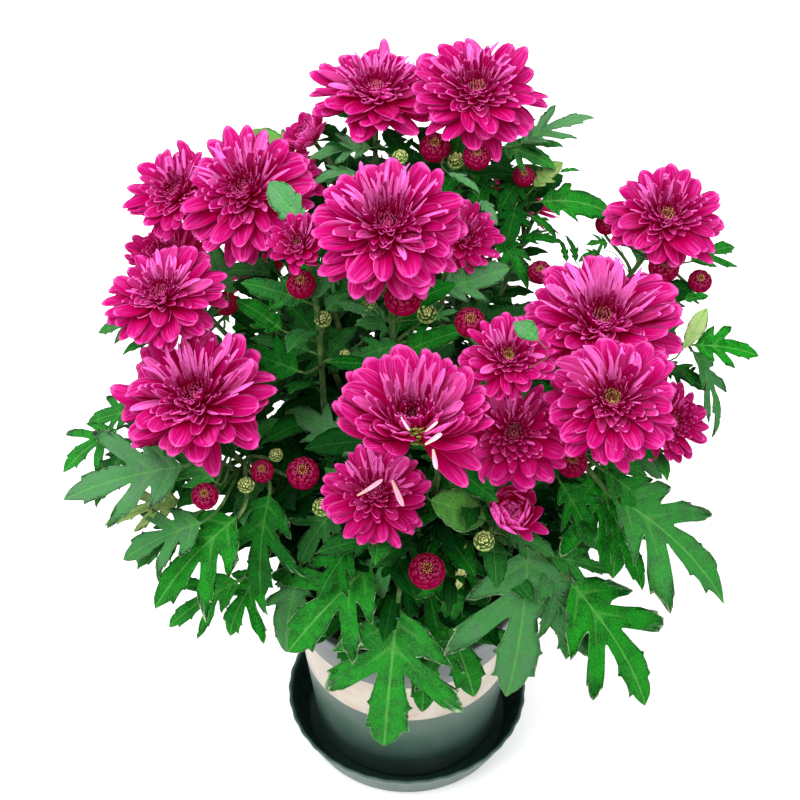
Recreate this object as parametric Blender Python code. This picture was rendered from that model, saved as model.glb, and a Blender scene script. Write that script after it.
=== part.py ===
"""A chrysanthemum in full flower, grown in a tapered plastic pot that stands on a saucer.

Five rooted cuttings share the pot. Each is one leafy stem that forks into shoots, and every shoot carries a
bloom on a green cup. Blooms and coloured buds are pieces of their own. Metres, +Z up, origin at the middle of
the saucer's underside, with the front of the plant towards -Y.
"""
import math

import bmesh
import bpy
import numpy as np

# Clearance between pieces that touch, and the angle from which an edge is left sharp
GAP = 0.0003
SHARP_ANGLE = math.radians(35)

# Colour and roughness of each kind of piece
SAUCER_LOOK = ((0.030, 0.075, 0.060), 0.45)
POT_LOOK = ((0.080, 0.150, 0.120), 0.40)
SOIL_LOOK = ((0.035, 0.022, 0.014), 0.95)
FOLIAGE_LOOK = ((0.035, 0.150, 0.035), 0.55)
PETAL_LOOK = ((0.560, 0.010, 0.150), 0.60)

# Saucer
SAUCER_RIM_R = 0.0760
SAUCER_BASE_R = 0.0660
SAUCER_HEIGHT = 0.0240
SAUCER_WALL = 0.0022
SAUCER_SIDES = 36

# Pot and the potting soil in it
POT_HEIGHT = 0.1300
POT_RIM_R = 0.0690
POT_BASE_R = 0.0560
POT_WALL = 0.0022
POT_FLOOR = 0.0030
POT_FOOT = 0.0030
POT_FOOT_WIDTH = 0.0060
POT_BEAD = 0.0022
POT_BEAD_HEIGHT = 0.0090
POT_SIDES = 30
DRAIN_R = 0.0045
DRAIN_RING_R = 0.0330
DRAIN_COUNT = 4
DRAIN_SIDES = 8
SOIL_BELOW_RIM = 0.0160
SOIL_HEAP = 0.0030
SOIL_HEAP_EDGE = 0.6

# Heights that follow from those
POT_Z = SAUCER_WALL + GAP
FLOOR_Z = POT_Z + POT_FOOT + POT_FLOOR
RIM_Z = POT_Z + POT_HEIGHT
SOIL_Z = RIM_Z - SOIL_BELOW_RIM

# Cuttings: where the main stems stand, and the shoots that they fork into
CUTTINGS = 5
CUTTING_RING_R = 0.0300
FIRST_CUTTING = math.radians(-90)
CUTTING_DEPTH = 0.0350
HOLE_R = 0.0045
HOLE_SIDES = 8
LEAN = 0.0060
FORK_RISE = 0.0260
FORK_STEP = 0.0050
MAIN_R = 0.0036
MAIN_TAPER = 0.8
MAIN_SIDES = 8
SHOOT_R = 0.0019
SHOOT_TIP_R = 0.0014
SHOOT_SIDES = 4
STALK_R = 0.0010
STALK_SIDES = 4
JOINT_REACH = 0.85
LOWEST_JOINT = 0.012
SHOOT_POINTS = 4
STALK_POINTS = 3
# How far the ends of a shoot run straight, as shares of its length: outwards, upwards, and behind its bloom
SHOOT_OUT = 0.10
SHOOT_UP = 0.30
SHOOT_BEHIND = 0.35
STALK_UP = 0.40
STALK_BEHIND = 0.30
# How far behind a bud its stalk is looked for
STALK_REACH = 0.020
GREEN_REACH = 0.015

# Leaf blade: outline points of one side as shares of the length along and across, and points of the midrib
LEAF_OUTLINE = ((0.36, 0.38), (0.38, 0.14), (0.66, 0.42), (0.61, 0.11), (0.84, 0.14))
LEAF_MIDRIB = (0.18, 0.40, 0.64, 1.0)
LEAF_THICKNESS = 0.0009
LEAF_ARCH = 0.10
LEAF_FOLD = 0.14
LEAF_CURL = 0.55
LEAF_LEAN = 0.5
PETIOLE_R = 0.0012
PETIOLE_DROP = 0.010

# Bloom: shares of its distance across, and the elevation of each ring of petals when it is fully open
CORE_R = 0.092
CORE_HEIGHT = 0.17
CORE_TAPER = 0.75
SPREAD_HEIGHT = 0.13
RING_ELEVATION = (-7.0, 20.0, 48.0)
RING_REACH = (1.12, 0.94, 0.68)
RING_WIDTH = (1.38, 1.26, 0.96)
CLOSED_WIDTH = 0.55
CLOSED_ELEVATION = 84.0
PETAL_THICKNESS = 0.0009
PETAL_WIDEST = 0.70
PETAL_DROOP = 0.08
PETAL_STAGGER = math.radians(4.0)
MANY_PETALS = 10
FEW_PETALS = 8
LARGE_BLOOM = 0.0715
SMALL_BLOOM = 0.047
CUP_R = 0.080
CUP_HEIGHT = 0.065

# The spot from which the layout below is seen: a pixel and a height give a place
VIEW_TARGET = np.array([-0.0045, 0.0, 0.274])
VIEW_DISTANCE = 1.00
VIEW_ELEVATION = math.radians(42)
VIEW_FOCAL_PIXELS = 1797.0
VIEW_CENTRE_PIXEL = 400.0
VIEW_FORWARD = np.array([0.0, math.cos(VIEW_ELEVATION), -math.sin(VIEW_ELEVATION)])
VIEW_UPWARD = np.array([0.0, math.sin(VIEW_ELEVATION), math.cos(VIEW_ELEVATION)])

# Far blooms look away from a point low in the plant, and the shoots divide round the crown's own centre
FACING_FROM = np.array([0.0, 0.045, 0.17])
CROWN_CENTRE_Y = 0.0315

# Blooms: pixel of the middle of the petals, its height, distance across, how far it has opened (0 to 1), and
# how far it faces to the right and upwards of the eye of the reference view
BLOOMS = {
    "bloom_top_left": (374, 88, 0.402, 0.071, 1.0, 0.0, 1.00),
    "bloom_top_right": (481, 92, 0.410, 0.067, 1.0, 0.05, 0.65),
    "bloom_crown": (390, 226, 0.398, 0.085, 1.0, 0.0, 0.60),
    "bloom_left_upper": (243, 196, 0.376, 0.072, 1.0, -0.30, 0.50),
    "bloom_left_inner": (284, 172, 0.352, 0.046, 0.9, 0.20, 0.60),
    "bloom_left_outer": (176, 185, 0.346, 0.055, 0.9, -0.35, 0.60),
    "bloom_left_middle": (163, 294, 0.342, 0.066, 1.0, -0.20, 0.70),
    "bloom_left_behind": (174, 240, 0.304, 0.040, 0.7, -0.30, 0.80),
    "bloom_left_lower": (192, 394, 0.310, 0.087, 1.0, -0.15, 0.65),
    "bloom_centre": (414, 423, 0.345, 0.082, 0.72, 0.0, 0.85),
    "bloom_centre_right": (515, 430, 0.312, 0.060, 1.0, 0.10, 0.25),
    "bloom_small_centre": (509, 353, 0.350, 0.048, 0.9, 0.05, 0.50),
    "bloom_front": (375, 495, 0.280, 0.061, 1.0, -0.05, 0.65),
    "bloom_right_upper": (604, 314, 0.332, 0.085, 1.0, 0.0, 0.65),
    "bloom_right_lower": (617, 401, 0.330, 0.071, 1.0, 0.0, 0.40),
    "bloom_right_outer": (667, 215, 0.348, 0.064, 1.0, 0.10, 0.55),
    "bloom_right_edge": (680, 425, 0.270, 0.046, 0.8, 0.50, 0.30),
    "bloom_crown_right": (470, 240, 0.356, 0.042, 0.8, 0.35, 0.35),
    "bloom_crown_left": (297, 240, 0.344, 0.036, 0.7, -0.20, 0.40),
    "bloom_top_side": (303, 131, 0.364, 0.036, 0.45, -1.20, 1.20),
    "bloom_front_cup": (513, 511, 0.262, 0.030, 0.35, 0.10, 0.35),
}
# Blooms on the far side, by their own place: x, y, height of the middle, distance across, opening
FAR_BLOOMS = {
    "bloom_back_middle": (-0.018, 0.158, 0.318, 0.070, 1.0),
    "bloom_back_left": (-0.086, 0.129, 0.278, 0.066, 1.0),
    "bloom_back_right": (0.064, 0.150, 0.310, 0.066, 1.0),
    "bloom_back_side": (0.121, 0.093, 0.263, 0.060, 1.0),
}
# Coloured buds: pixel of the middle, its height, distance across; all face alike
BUD_FACING = (0.0, 0.40)
BUDS = {
    "bud_front": (427, 571, 0.232, 0.0190),
    "bud_under_crown": (403, 297, 0.359, 0.0190),
    "bud_top_left": (435, 147, 0.375, 0.0165),
    "bud_top_right": (477, 156, 0.380, 0.0150),
    "bud_top_outer": (524, 176, 0.352, 0.0120),
    "bud_left_inner": (301, 284, 0.350, 0.0150),
    "bud_left_low": (205, 496, 0.262, 0.0140),
    "bud_left_under": (262, 471, 0.268, 0.0120),
    "bud_front_left": (303, 473, 0.268, 0.0170),
    "bud_centre": (470, 322, 0.345, 0.0155),
    "bud_right_low": (572, 462, 0.276, 0.0160),
    "bud_right_outer": (700, 281, 0.312, 0.0130),
    "bud_right_neck": (606, 224, 0.322, 0.0120),
    "bud_right_behind": (660, 263, 0.322, 0.0165),
    "bud_shade": (540, 272, 0.322, 0.0130),
    "bud_left_shade": (226, 303, 0.312, 0.0130),
    "bud_left_edge": (150, 434, 0.278, 0.0130),
}
BUD_SIDES = 8
BUD_CUP_R = 0.30
# One band of a bud for each pair: share of the radius, and of the height, from the foot up
BUD_PROFILE = ((0.50, 0.0), (0.95, 0.24), (1.0, 0.52), (0.62, 0.92))
BUD_NOTCHED_FROM = 2
BUD_NOTCH = 0.05
BUD_HEIGHT = 1.05
BUD_EYE = 0.80
# Small green buds, part of the leafy stem that bears them: pixel, height, distance across
GREEN_SIDES = 6
GREEN_BANDS = 4
GREEN_BUDS = (
    (456, 162, 0.370, 0.0070), (400, 157, 0.376, 0.0070), (370, 309, 0.330, 0.0078),
    (427, 313, 0.332, 0.0086), (323, 320, 0.318, 0.0080), (246, 485, 0.262, 0.0070),
    (322, 507, 0.255, 0.0080), (484, 541, 0.250, 0.0090),
)
# How far a shoot is bent aside before its bloom, to pass clear of the blooms below it
BENDS = {"bloom_centre": (0.032, 0.038, 0.0), "bloom_top_right": (-0.012, 0.0, 0.0),
         "bloom_left_inner": (0.015, 0.0, 0.0)}
# Shoots that end in leaves and bear no bloom: pixel and height of the end
BLIND_SHOOTS = ((682, 345, 0.292), (124, 440, 0.255), (540, 205, 0.318), (298, 232, 0.370))
# Leaves: pixel and height of the blade's foot, pixel and height of its tip, width as a share of the usual
LEAVES = (
    (128, 428, 0.270, 63, 475, 0.255, 1.0), (190, 470, 0.268, 68, 500, 0.245, 0.8),
    (240, 512, 0.248, 128, 556, 0.215, 0.9), (248, 532, 0.232, 153, 606, 0.185, 0.9),
    (270, 560, 0.205, 170, 628, 0.160, 0.7), (282, 560, 0.200, 232, 634, 0.150, 0.9),
    (265, 492, 0.250, 255, 590, 0.190, 0.9), (370, 574, 0.205, 292, 650, 0.150, 1.0),
    (402, 606, 0.185, 384, 745, 0.094, 1.0), (432, 602, 0.168, 478, 695, 0.112, 1.0),
    (530, 548, 0.225, 507, 697, 0.130, 0.85), (566, 560, 0.212, 643, 703, 0.122, 0.85),
    (590, 468, 0.262, 622, 572, 0.200, 0.9), (612, 482, 0.255, 720, 600, 0.192, 0.8),
    (640, 474, 0.262, 717, 534, 0.225, 0.8), (694, 338, 0.312, 758, 356, 0.298, 1.0),
    (702, 352, 0.292, 713, 436, 0.232, 0.7), (545, 200, 0.330, 608, 212, 0.318, 0.9),
    (515, 152, 0.362, 595, 118, 0.368, 0.7), (688, 268, 0.304, 735, 256, 0.298, 0.9),
    (300, 152, 0.350, 254, 130, 0.346, 0.7), (305, 222, 0.386, 270, 184, 0.394, 1.0),
    (372, 160, 0.368, 308, 157, 0.360, 1.0), (345, 262, 0.350, 316, 300, 0.330, 1.0),
    (346, 440, 0.264, 285, 412, 0.262, 0.9), (440, 492, 0.275, 490, 500, 0.255, 0.9),
    (282, 330, 0.310, 230, 298, 0.318, 1.0), (300, 372, 0.300, 238, 352, 0.290, 0.9),
    (400, 345, 0.318, 340, 366, 0.300, 0.8), (448, 292, 0.335, 510, 268, 0.335, 0.9),
    (560, 482, 0.262, 590, 545, 0.225, 1.0), (352, 545, 0.225, 318, 600, 0.190, 0.9),
    (498, 240, 0.330, 528, 290, 0.312, 0.9), (338, 505, 0.236, 300, 566, 0.196, 1.0),
    (462, 548, 0.218, 450, 622, 0.168, 1.0), (400, 540, 0.225, 372, 604, 0.182, 0.9),
    (480, 505, 0.238, 542, 545, 0.212, 0.9),
)
# Leaves that fill the plant, in tiers round its axis: height of the foot, drop to the tip, reach of the foot,
# length of the blade, the angles that the tier spans, and how many there are
TIERS = (
    (0.240, 0.030, 0.080, 0.072, 10, 170, 5),
    (0.175, 0.045, 0.062, 0.076, -4, 184, 5),
    (0.182, 0.025, 0.036, 0.060, 222, 318, 3),
    (0.285, 0.010, 0.030, 0.058, 30, 330, 3),
)
TIER_CENTRE_Y = 0.030


def unit(vector):
    """The vector at a length of one."""
    return np.asarray(vector, float) / np.linalg.norm(vector)


def sight(pixel_x, pixel_y, height):
    """The point at a height that the reference view shows at a pixel."""
    eye = VIEW_TARGET - VIEW_FORWARD * VIEW_DISTANCE
    ray = VIEW_FORWARD * VIEW_FOCAL_PIXELS + VIEW_UPWARD * (VIEW_CENTRE_PIXEL - pixel_y)
    ray[0] += pixel_x - VIEW_CENTRE_PIXEL
    return eye + ray * (height - eye[2]) / ray[2]


def bezier(points, count):
    """Points along the cubic curve of four control points."""
    t = np.linspace(0.0, 1.0, count)[:, None]
    start, leave, arrive, end = (np.asarray(point, float) for point in points)
    return start * (1 - t) ** 3 + 3 * leave * t * (1 - t) ** 2 + 3 * arrive * t ** 2 * (1 - t) + end * t ** 3


def frame_about(axis):
    """Three unit vectors, of which the last is the axis."""
    axis = unit(axis)
    side = unit(np.cross((0.0, 0.0, 1.0) if abs(axis[2]) < 0.99 else (0.0, 1.0, 0.0), axis))
    return side, np.cross(axis, side), axis


def coloured(name, colour, roughness):
    """A material of one colour for one node."""
    material = bpy.data.materials.new(name)
    material.use_nodes = True
    shader = material.node_tree.nodes["Principled BSDF"]
    shader.inputs["Base Color"].default_value = (*colour, 1.0)
    shader.inputs["Roughness"].default_value = roughness
    shader.inputs["Metallic"].default_value = 0.0
    return material


def finish(name, work, material):
    """One object from a bmesh, smooth where it is round."""
    mesh = bpy.data.meshes.new(name)
    work.to_mesh(mesh)
    work.free()
    mesh.materials.append(material)
    mesh.shade_smooth()
    mesh.set_sharp_from_angle(angle=SHARP_ANGLE)
    result = bpy.data.objects.new(name, mesh)
    bpy.context.scene.collection.objects.link(result)
    return result


def face_outward(work):
    """Turns a closed shape's faces over if they point inwards."""
    if work.calc_volume(signed=True) < 0.0:
        bmesh.ops.reverse_faces(work, faces=work.faces)


def turned(profile, sides):
    """A closed profile of radius and height, turned about the Z axis."""
    work = bmesh.new()
    corners = [work.verts.new((radius, 0.0, height)) for radius, height in profile]
    rim = [work.edges.new(pair) for pair in zip(corners, corners[1:] + corners[:1])]
    bmesh.ops.spin(work, geom=corners + rim, cent=(0, 0, 0), axis=(0, 0, 1), angle=math.tau,
                   steps=sides, use_merge=True)
    bmesh.ops.remove_doubles(work, verts=work.verts, dist=0.00001)
    bmesh.ops.dissolve_degenerate(work, edges=work.edges, dist=0.00001)
    face_outward(work)
    return work


def saucer():
    """A shallow dish with a flat floor and a flared wall."""
    inner_rim = SAUCER_RIM_R - SAUCER_WALL
    inner_base = SAUCER_BASE_R - SAUCER_WALL
    profile = ((0.0, 0.0), (SAUCER_BASE_R, 0.0), (SAUCER_RIM_R, SAUCER_HEIGHT), (inner_rim, SAUCER_HEIGHT),
               (inner_base, SAUCER_WALL), (0.0, SAUCER_WALL))
    return finish("saucer", turned(profile, SAUCER_SIDES), coloured("saucer", *SAUCER_LOOK))


def pot_radius(height):
    """Outer radius of the pot's wall at a height above its foot."""
    return POT_BASE_R + (POT_RIM_R - POT_BASE_R) * height / POT_HEIGHT


def pot():
    """A tapered shell with a rolled rim, a raised floor on a foot ring, and drain holes."""
    foot_inner = POT_BASE_R - POT_FOOT_WIDTH
    floor_inner = pot_radius(POT_FOOT + POT_FLOOR) - POT_WALL
    bead_foot = POT_HEIGHT - POT_BEAD_HEIGHT
    profile = ((0.0, POT_FOOT), (foot_inner, POT_FOOT), (foot_inner, 0.0), (POT_BASE_R, 0.0),
               (pot_radius(bead_foot), bead_foot), (pot_radius(bead_foot) + POT_BEAD, bead_foot),
               (POT_RIM_R + POT_BEAD, POT_HEIGHT), (POT_RIM_R - POT_WALL, POT_HEIGHT),
               (floor_inner, POT_FOOT + POT_FLOOR), (0.0, POT_FOOT + POT_FLOOR))
    shell = finish("pot", turned(profile, POT_SIDES), coloured("pot", *POT_LOOK))
    shell.location.z = POT_Z
    for number in range(DRAIN_COUNT):
        angle = math.tau * (number + 0.5) / DRAIN_COUNT
        bpy.ops.mesh.primitive_cylinder_add(vertices=DRAIN_SIDES, radius=DRAIN_R, depth=4 * POT_FLOOR)
        cutter = bpy.context.object
        cutter.location = (DRAIN_RING_R * math.cos(angle), DRAIN_RING_R * math.sin(angle), FLOOR_Z)
        cut_with(shell, cutter, f"drain_{number}")
    return shell


def cut_with(body, cutter, name):
    """Leaves a wire cutter in the scene and takes its shape out of the body."""
    cutter.name = name
    cutter.hide_render = True
    cutter.display_type = "WIRE"
    cut = body.modifiers.new(name, "BOOLEAN")
    cut.operation = "DIFFERENCE"
    cut.solver = "EXACT"
    cut.object = cutter


def soil():
    """The potting soil: it fills the pot, heaps a little, and has a plain hole for each cutting."""
    foot = FLOOR_Z + GAP
    foot_r = pot_radius(foot - POT_Z) - POT_WALL - 2 * GAP
    top_r = pot_radius(SOIL_Z - POT_Z) - POT_WALL - 2 * GAP
    profile = ((0.0, foot), (foot_r, foot), (top_r, SOIL_Z), (SOIL_HEAP_EDGE * top_r, SOIL_Z + SOIL_HEAP),
               (0.0, SOIL_Z + SOIL_HEAP))
    body = finish("soil", turned(profile, POT_SIDES), coloured("soil", *SOIL_LOOK))
    for number in range(CUTTINGS):
        bpy.ops.mesh.primitive_cylinder_add(vertices=HOLE_SIDES, radius=HOLE_R, depth=2 * CUTTING_DEPTH)
        cutter = bpy.context.object
        cutter.location = (*cutting_place(number)[:2], SOIL_Z)
        cut_with(body, cutter, f"hole_{number}")
    return body


def cutting_place(number):
    """Where the foot of a cutting stands in the soil."""
    angle = FIRST_CUTTING + math.tau * number / CUTTINGS
    foot = SOIL_Z - CUTTING_DEPTH + GAP
    return np.array([CUTTING_RING_R * math.cos(angle), CUTTING_RING_R * math.sin(angle), foot])


def outward_axis(middle):
    """The way from low in the plant to a place in its crown."""
    return unit(np.asarray(middle) - FACING_FROM)


def faced_axis(right, upward):
    """The way to the reference view's eye, turned to the right and upwards by shares of its length."""
    return unit(upward * VIEW_UPWARD - VIEW_FORWARD + (right, 0.0, 0.0))


def bloom_mesh(across, opening):
    """Rings of petals drawn out of the faces of a small core, which is a twisted grid so the rings alternate.

    The core's underside is at height zero and the bloom looks up. Each petal is a plank that widens to its
    PETAL_WIDEST share and then runs to a point.
    """
    petals = MANY_PETALS if across > LARGE_BLOOM else FEW_PETALS
    rings = len(RING_ELEVATION) - (across < SMALL_BLOOM)
    work = bmesh.new()
    levels = np.linspace(0.0, 1.0, rings + 1)
    grid = []
    for row, level in enumerate(levels):
        radius = across * CORE_R * math.sqrt(1.0 - CORE_TAPER * level ** 2)
        height = across * CORE_HEIGHT * level
        turns = (np.arange(petals) + row / 2) * math.tau / petals
        grid.append([work.verts.new((radius * math.cos(a), radius * math.sin(a), height)) for a in turns])
    work.faces.new(reversed(grid[0]))
    work.faces.new(grid[-1])
    bands = []
    for low, high in zip(grid, grid[1:]):
        bands.append([work.faces.new((low[i], low[(i + 1) % petals], high[(i + 1) % petals], high[i]))
                      for i in range(petals)])
    for row, band in enumerate(bands):
        drawn = bmesh.ops.extrude_discrete_faces(work, faces=band)["faces"]
        elevation = math.radians(CLOSED_ELEVATION + (RING_ELEVATION[row] - CLOSED_ELEVATION) * opening)
        reach = across / 2 * RING_REACH[row] - across * CORE_R
        width = across * RING_WIDTH[row] * (CLOSED_WIDTH + (1.0 - CLOSED_WIDTH) * opening) / petals
        for number, face in enumerate(drawn):
            draw_petal(work, face, elevation, reach, width, number)
    return work


def draw_petal(work, face, elevation, reach, width, number):
    """Shapes one drawn-out face into a petal of its own slight turn of pitch."""
    corners = list(face.verts)
    centre = np.mean([corner.co for corner in corners], axis=0)
    outward = unit((centre[0], centre[1], 0.0))
    side = np.array([-outward[1], outward[0], 0.0])
    pitch = elevation + PETAL_STAGGER * (-1) ** number
    along = outward * math.cos(pitch) + np.array([0.0, 0.0, math.sin(pitch)])
    above = np.cross(along, side)
    middle = centre + along * reach * PETAL_WIDEST
    for corner in corners:
        offset = np.asarray(corner.co) - centre
        across_sign = 1.0 if offset @ side > 0 else -1.0
        upward_sign = 1.0 if offset[2] > 0 else -1.0
        corner.co = middle + side * across_sign * width / 2 + above * upward_sign * PETAL_THICKNESS / 2
    tip = bmesh.ops.poke(work, faces=[face])["verts"][0]
    tip.co = centre + along * reach - above * PETAL_DROOP * reach


def bud_mesh(across):
    """A closed head of overlapping petals: a turned egg whose last ring is notched between the petal tips."""
    work = bmesh.new()
    turns = np.arange(BUD_SIDES) * math.tau / BUD_SIDES
    grid = []
    for row, (share, height) in enumerate(BUD_PROFILE):
        notch = (-1.0) ** np.arange(BUD_SIDES) * BUD_NOTCH * (row >= BUD_NOTCHED_FROM)
        radius = across / 2 * share * (1.0 - notch)
        level = across * BUD_HEIGHT * (height - notch)
        ring = zip(radius * np.cos(turns), radius * np.sin(turns), level)
        grid.append([work.verts.new(place) for place in ring])
    for low, high in zip(grid, grid[1:]):
        for i in range(BUD_SIDES):
            work.faces.new((low[i], low[(i + 1) % BUD_SIDES], high[(i + 1) % BUD_SIDES], high[i]))
    work.faces.new(reversed(grid[0]))
    crown = work.faces.new(grid[-1])
    eye = bmesh.ops.poke(work, faces=[crown])["verts"][0]
    eye.co.z = across * BUD_HEIGHT * BUD_EYE
    return work


def set_on(work, foot, axis):
    """Turns a bmesh that looks up so that it looks along the axis from its foot."""
    side, other, ahead = frame_about(axis)
    for vertex in work.verts:
        x, y, z = vertex.co
        vertex.co = foot + side * x + other * y + ahead * z


def tube(name, points, radii, sides):
    """A round stem: a curve with a bevel and filled ends, made into a mesh."""
    curve = bpy.data.curves.new(name, "CURVE")
    curve.dimensions = "3D"
    curve.bevel_depth = 1.0
    curve.bevel_resolution = (sides - 4) // 2
    curve.use_fill_caps = True
    line = curve.splines.new("POLY")
    line.points.add(len(points) - 1)
    for knot, point, radius in zip(line.points, points, radii):
        knot.co = (*point, 1.0)
        knot.radius = radius
    guide = bpy.data.objects.new(name, curve)
    bpy.context.scene.collection.objects.link(guide)
    bpy.context.view_layer.update()
    mesh = bpy.data.meshes.new_from_object(guide.evaluated_get(bpy.context.evaluated_depsgraph_get()))
    work = bmesh.new()
    work.from_mesh(mesh)
    bpy.data.objects.remove(guide)
    bpy.data.curves.remove(curve)
    bpy.data.meshes.remove(mesh)
    bmesh.ops.remove_doubles(work, verts=work.verts, dist=0.000001)
    face_outward(work)
    return work


def leaf(joint, foot, tip, width):
    """A leaf with its stalk: a flat strip from the stem to the blade's foot, then a lobed blade.

    The blade is arched along its midrib, folded up along it, and curled down towards its edges.
    """
    joint, foot, tip = (np.asarray(point, float) for point in (joint, foot, tip))
    length = np.linalg.norm(tip - foot)
    along = unit(tip - foot)
    outward = unit((foot[0], foot[1] - FACING_FROM[1], 0.0))
    upward = np.array([0.0, 0.0, 1.0]) + LEAF_LEAN * outward
    normal = unit(upward - along * (upward @ along))
    side = np.cross(normal, along)
    work = bmesh.new()

    def corner(v, w):
        lift = LEAF_ARCH * 4.0 * v * (1.0 - v) + LEAF_FOLD * abs(w) - LEAF_CURL * w * w
        return work.verts.new(foot + length * (along * v + side * w * width + normal * lift))

    base = [work.verts.new(place + side * turn * PETIOLE_R) for turn in (1, -1) for place in (joint, foot)]
    rib = [corner(v, 0.0) for v in LEAF_MIDRIB]
    work.faces.new((base[0], base[1], base[3], base[2]))
    work.faces.new((base[3], base[1], rib[0]))
    for turn, start in ((1, base[1]), (-1, base[3])):
        edge = [corner(v, turn * w) for v, w in LEAF_OUTLINE]
        plan = ((start, edge[0], rib[0]), (edge[0], edge[1], rib[0]), (rib[0], edge[1], rib[1]),
                (edge[1], edge[2], rib[1]), (edge[2], edge[3], rib[1]), (rib[1], edge[3], rib[2]),
                (rib[2], edge[3], edge[4]), (rib[2], edge[4], rib[3]))
        for triangle in plan:
            work.faces.new(triangle if turn == 1 else triangle[::-1])
    work.normal_update()
    bmesh.ops.solidify(work, geom=work.faces, thickness=LEAF_THICKNESS)
    face_outward(work)
    return work


def heads():
    """Every bloom and coloured bud, as (name, foot, axis, distance across, opening, whether it is a bud)."""
    placed = []
    for name, (pixel_x, pixel_y, height, across, opening, right, upward) in BLOOMS.items():
        middle = sight(pixel_x, pixel_y, height)
        axis = faced_axis(right, upward)
        placed.append((name, middle - axis * SPREAD_HEIGHT * across, axis, across, opening, False))
    for name, (x, y, height, across, opening) in FAR_BLOOMS.items():
        middle = np.array([x, y, height])
        axis = outward_axis(middle)
        placed.append((name, middle - axis * SPREAD_HEIGHT * across, axis, across, opening, False))
    for name, (pixel_x, pixel_y, height, across) in BUDS.items():
        middle = sight(pixel_x, pixel_y, height)
        axis = faced_axis(*BUD_FACING)
        placed.append((name, middle - axis * across * BUD_HEIGHT / 2, axis, across, 0.0, True))
    return placed


def nearest_cutting(point):
    """The number of the cutting that stands towards a point of the crown."""
    angle = math.atan2(point[1] - CROWN_CENTRE_Y, point[0])
    return round((angle - FIRST_CUTTING) / math.tau * CUTTINGS) % CUTTINGS


def shoot_paths(placed):
    """For each cutting its paths: the main stem, a shoot per bloom, and the blind shoots."""
    families = []
    for number in range(CUTTINGS):
        blooms = [head for head in placed if not head[-1] and nearest_cutting(head[1]) == number]
        root = cutting_place(number)
        outward = unit((root[0], root[1], 0.0))
        collar = root + (0.0, 0.0, CUTTING_DEPTH + GAP)
        rise = outward * LEAN + (0.0, 0.0, FORK_RISE + FORK_STEP * len(blooms))
        family = [np.array([root, collar, collar + rise / 2, collar + rise])]
        blooms.sort(key=lambda head: head[1][2])
        for order, (name, foot, axis, across, *_) in enumerate(blooms):
            start = collar + rise * (FORK_RISE + FORK_STEP * order) / rise[2]
            end = foot - axis * CUP_HEIGHT * across
            length = np.linalg.norm(end - start)
            bend = BENDS.get(name, (0.0, 0.0, 0.0))
            leave = start + outward * SHOOT_OUT * length + (0.0, 0.0, SHOOT_UP * length)
            path = bezier((start, leave, end - axis * SHOOT_BEHIND * length + bend, end), SHOOT_POINTS)
            family.append(np.vstack((path, foot - axis * GAP)))
        families.append(family)
    for pixel_x, pixel_y, height in BLIND_SHOOTS:
        end = sight(pixel_x, pixel_y, height)
        family = families[nearest_cutting(end)]
        start = family[0][-1]
        length = np.linalg.norm(end - start)
        leave = start + (0.0, 0.0, SHOOT_UP * length)
        family.append(bezier((start, leave, end - outward_axis(end) * SHOOT_UP * length, end), SHOOT_POINTS))
    return families


def nearest_joint(families, point):
    """The cutting, and the place on one of its paths, that lies nearest to a point."""
    best = None
    for number, family in enumerate(families):
        for path in family:
            share = np.linspace(0.0, JOINT_REACH * (len(path) - 1.0), 8 * len(path))
            low = np.minimum(share.astype(int), len(path) - 2)
            along = path[low] + (path[low + 1] - path[low]) * (share - low)[:, None]
            along = along[along[:, 2] > SOIL_Z + LOWEST_JOINT]
            distance = np.linalg.norm(along - point, axis=1)
            if best is None or distance.min() < best[0]:
                best = (distance.min(), number, along[distance.argmin()])
    return best[1], best[2]


def stalk(joint, foot, axis, cup_radius):
    """A thin stalk that leaves a shoot and widens into a cup under a bud."""
    neck = foot - axis * cup_radius
    length = np.linalg.norm(neck - joint)
    leave = joint + (0.0, 0.0, STALK_UP * length)
    path = bezier((joint, leave, neck - axis * STALK_BEHIND * length, neck), STALK_POINTS)
    radii = (STALK_R,) * STALK_POINTS + (cup_radius,)
    return tube("stalk", np.vstack((path, foot)), radii, STALK_SIDES)


def tier_leaves():
    """Foot and tip of the leaves that stand in even tiers round the plant's axis."""
    for height, drop, reach, length, first, last, count in TIERS:
        for angle in np.radians(np.linspace(first, last, count)):
            outward = np.array([math.cos(angle), math.sin(angle), 0.0])
            foot = outward * reach + (0.0, TIER_CENTRE_Y, height)
            yield foot, foot + outward * math.sqrt(length ** 2 - drop ** 2) - (0.0, 0.0, drop)


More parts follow.
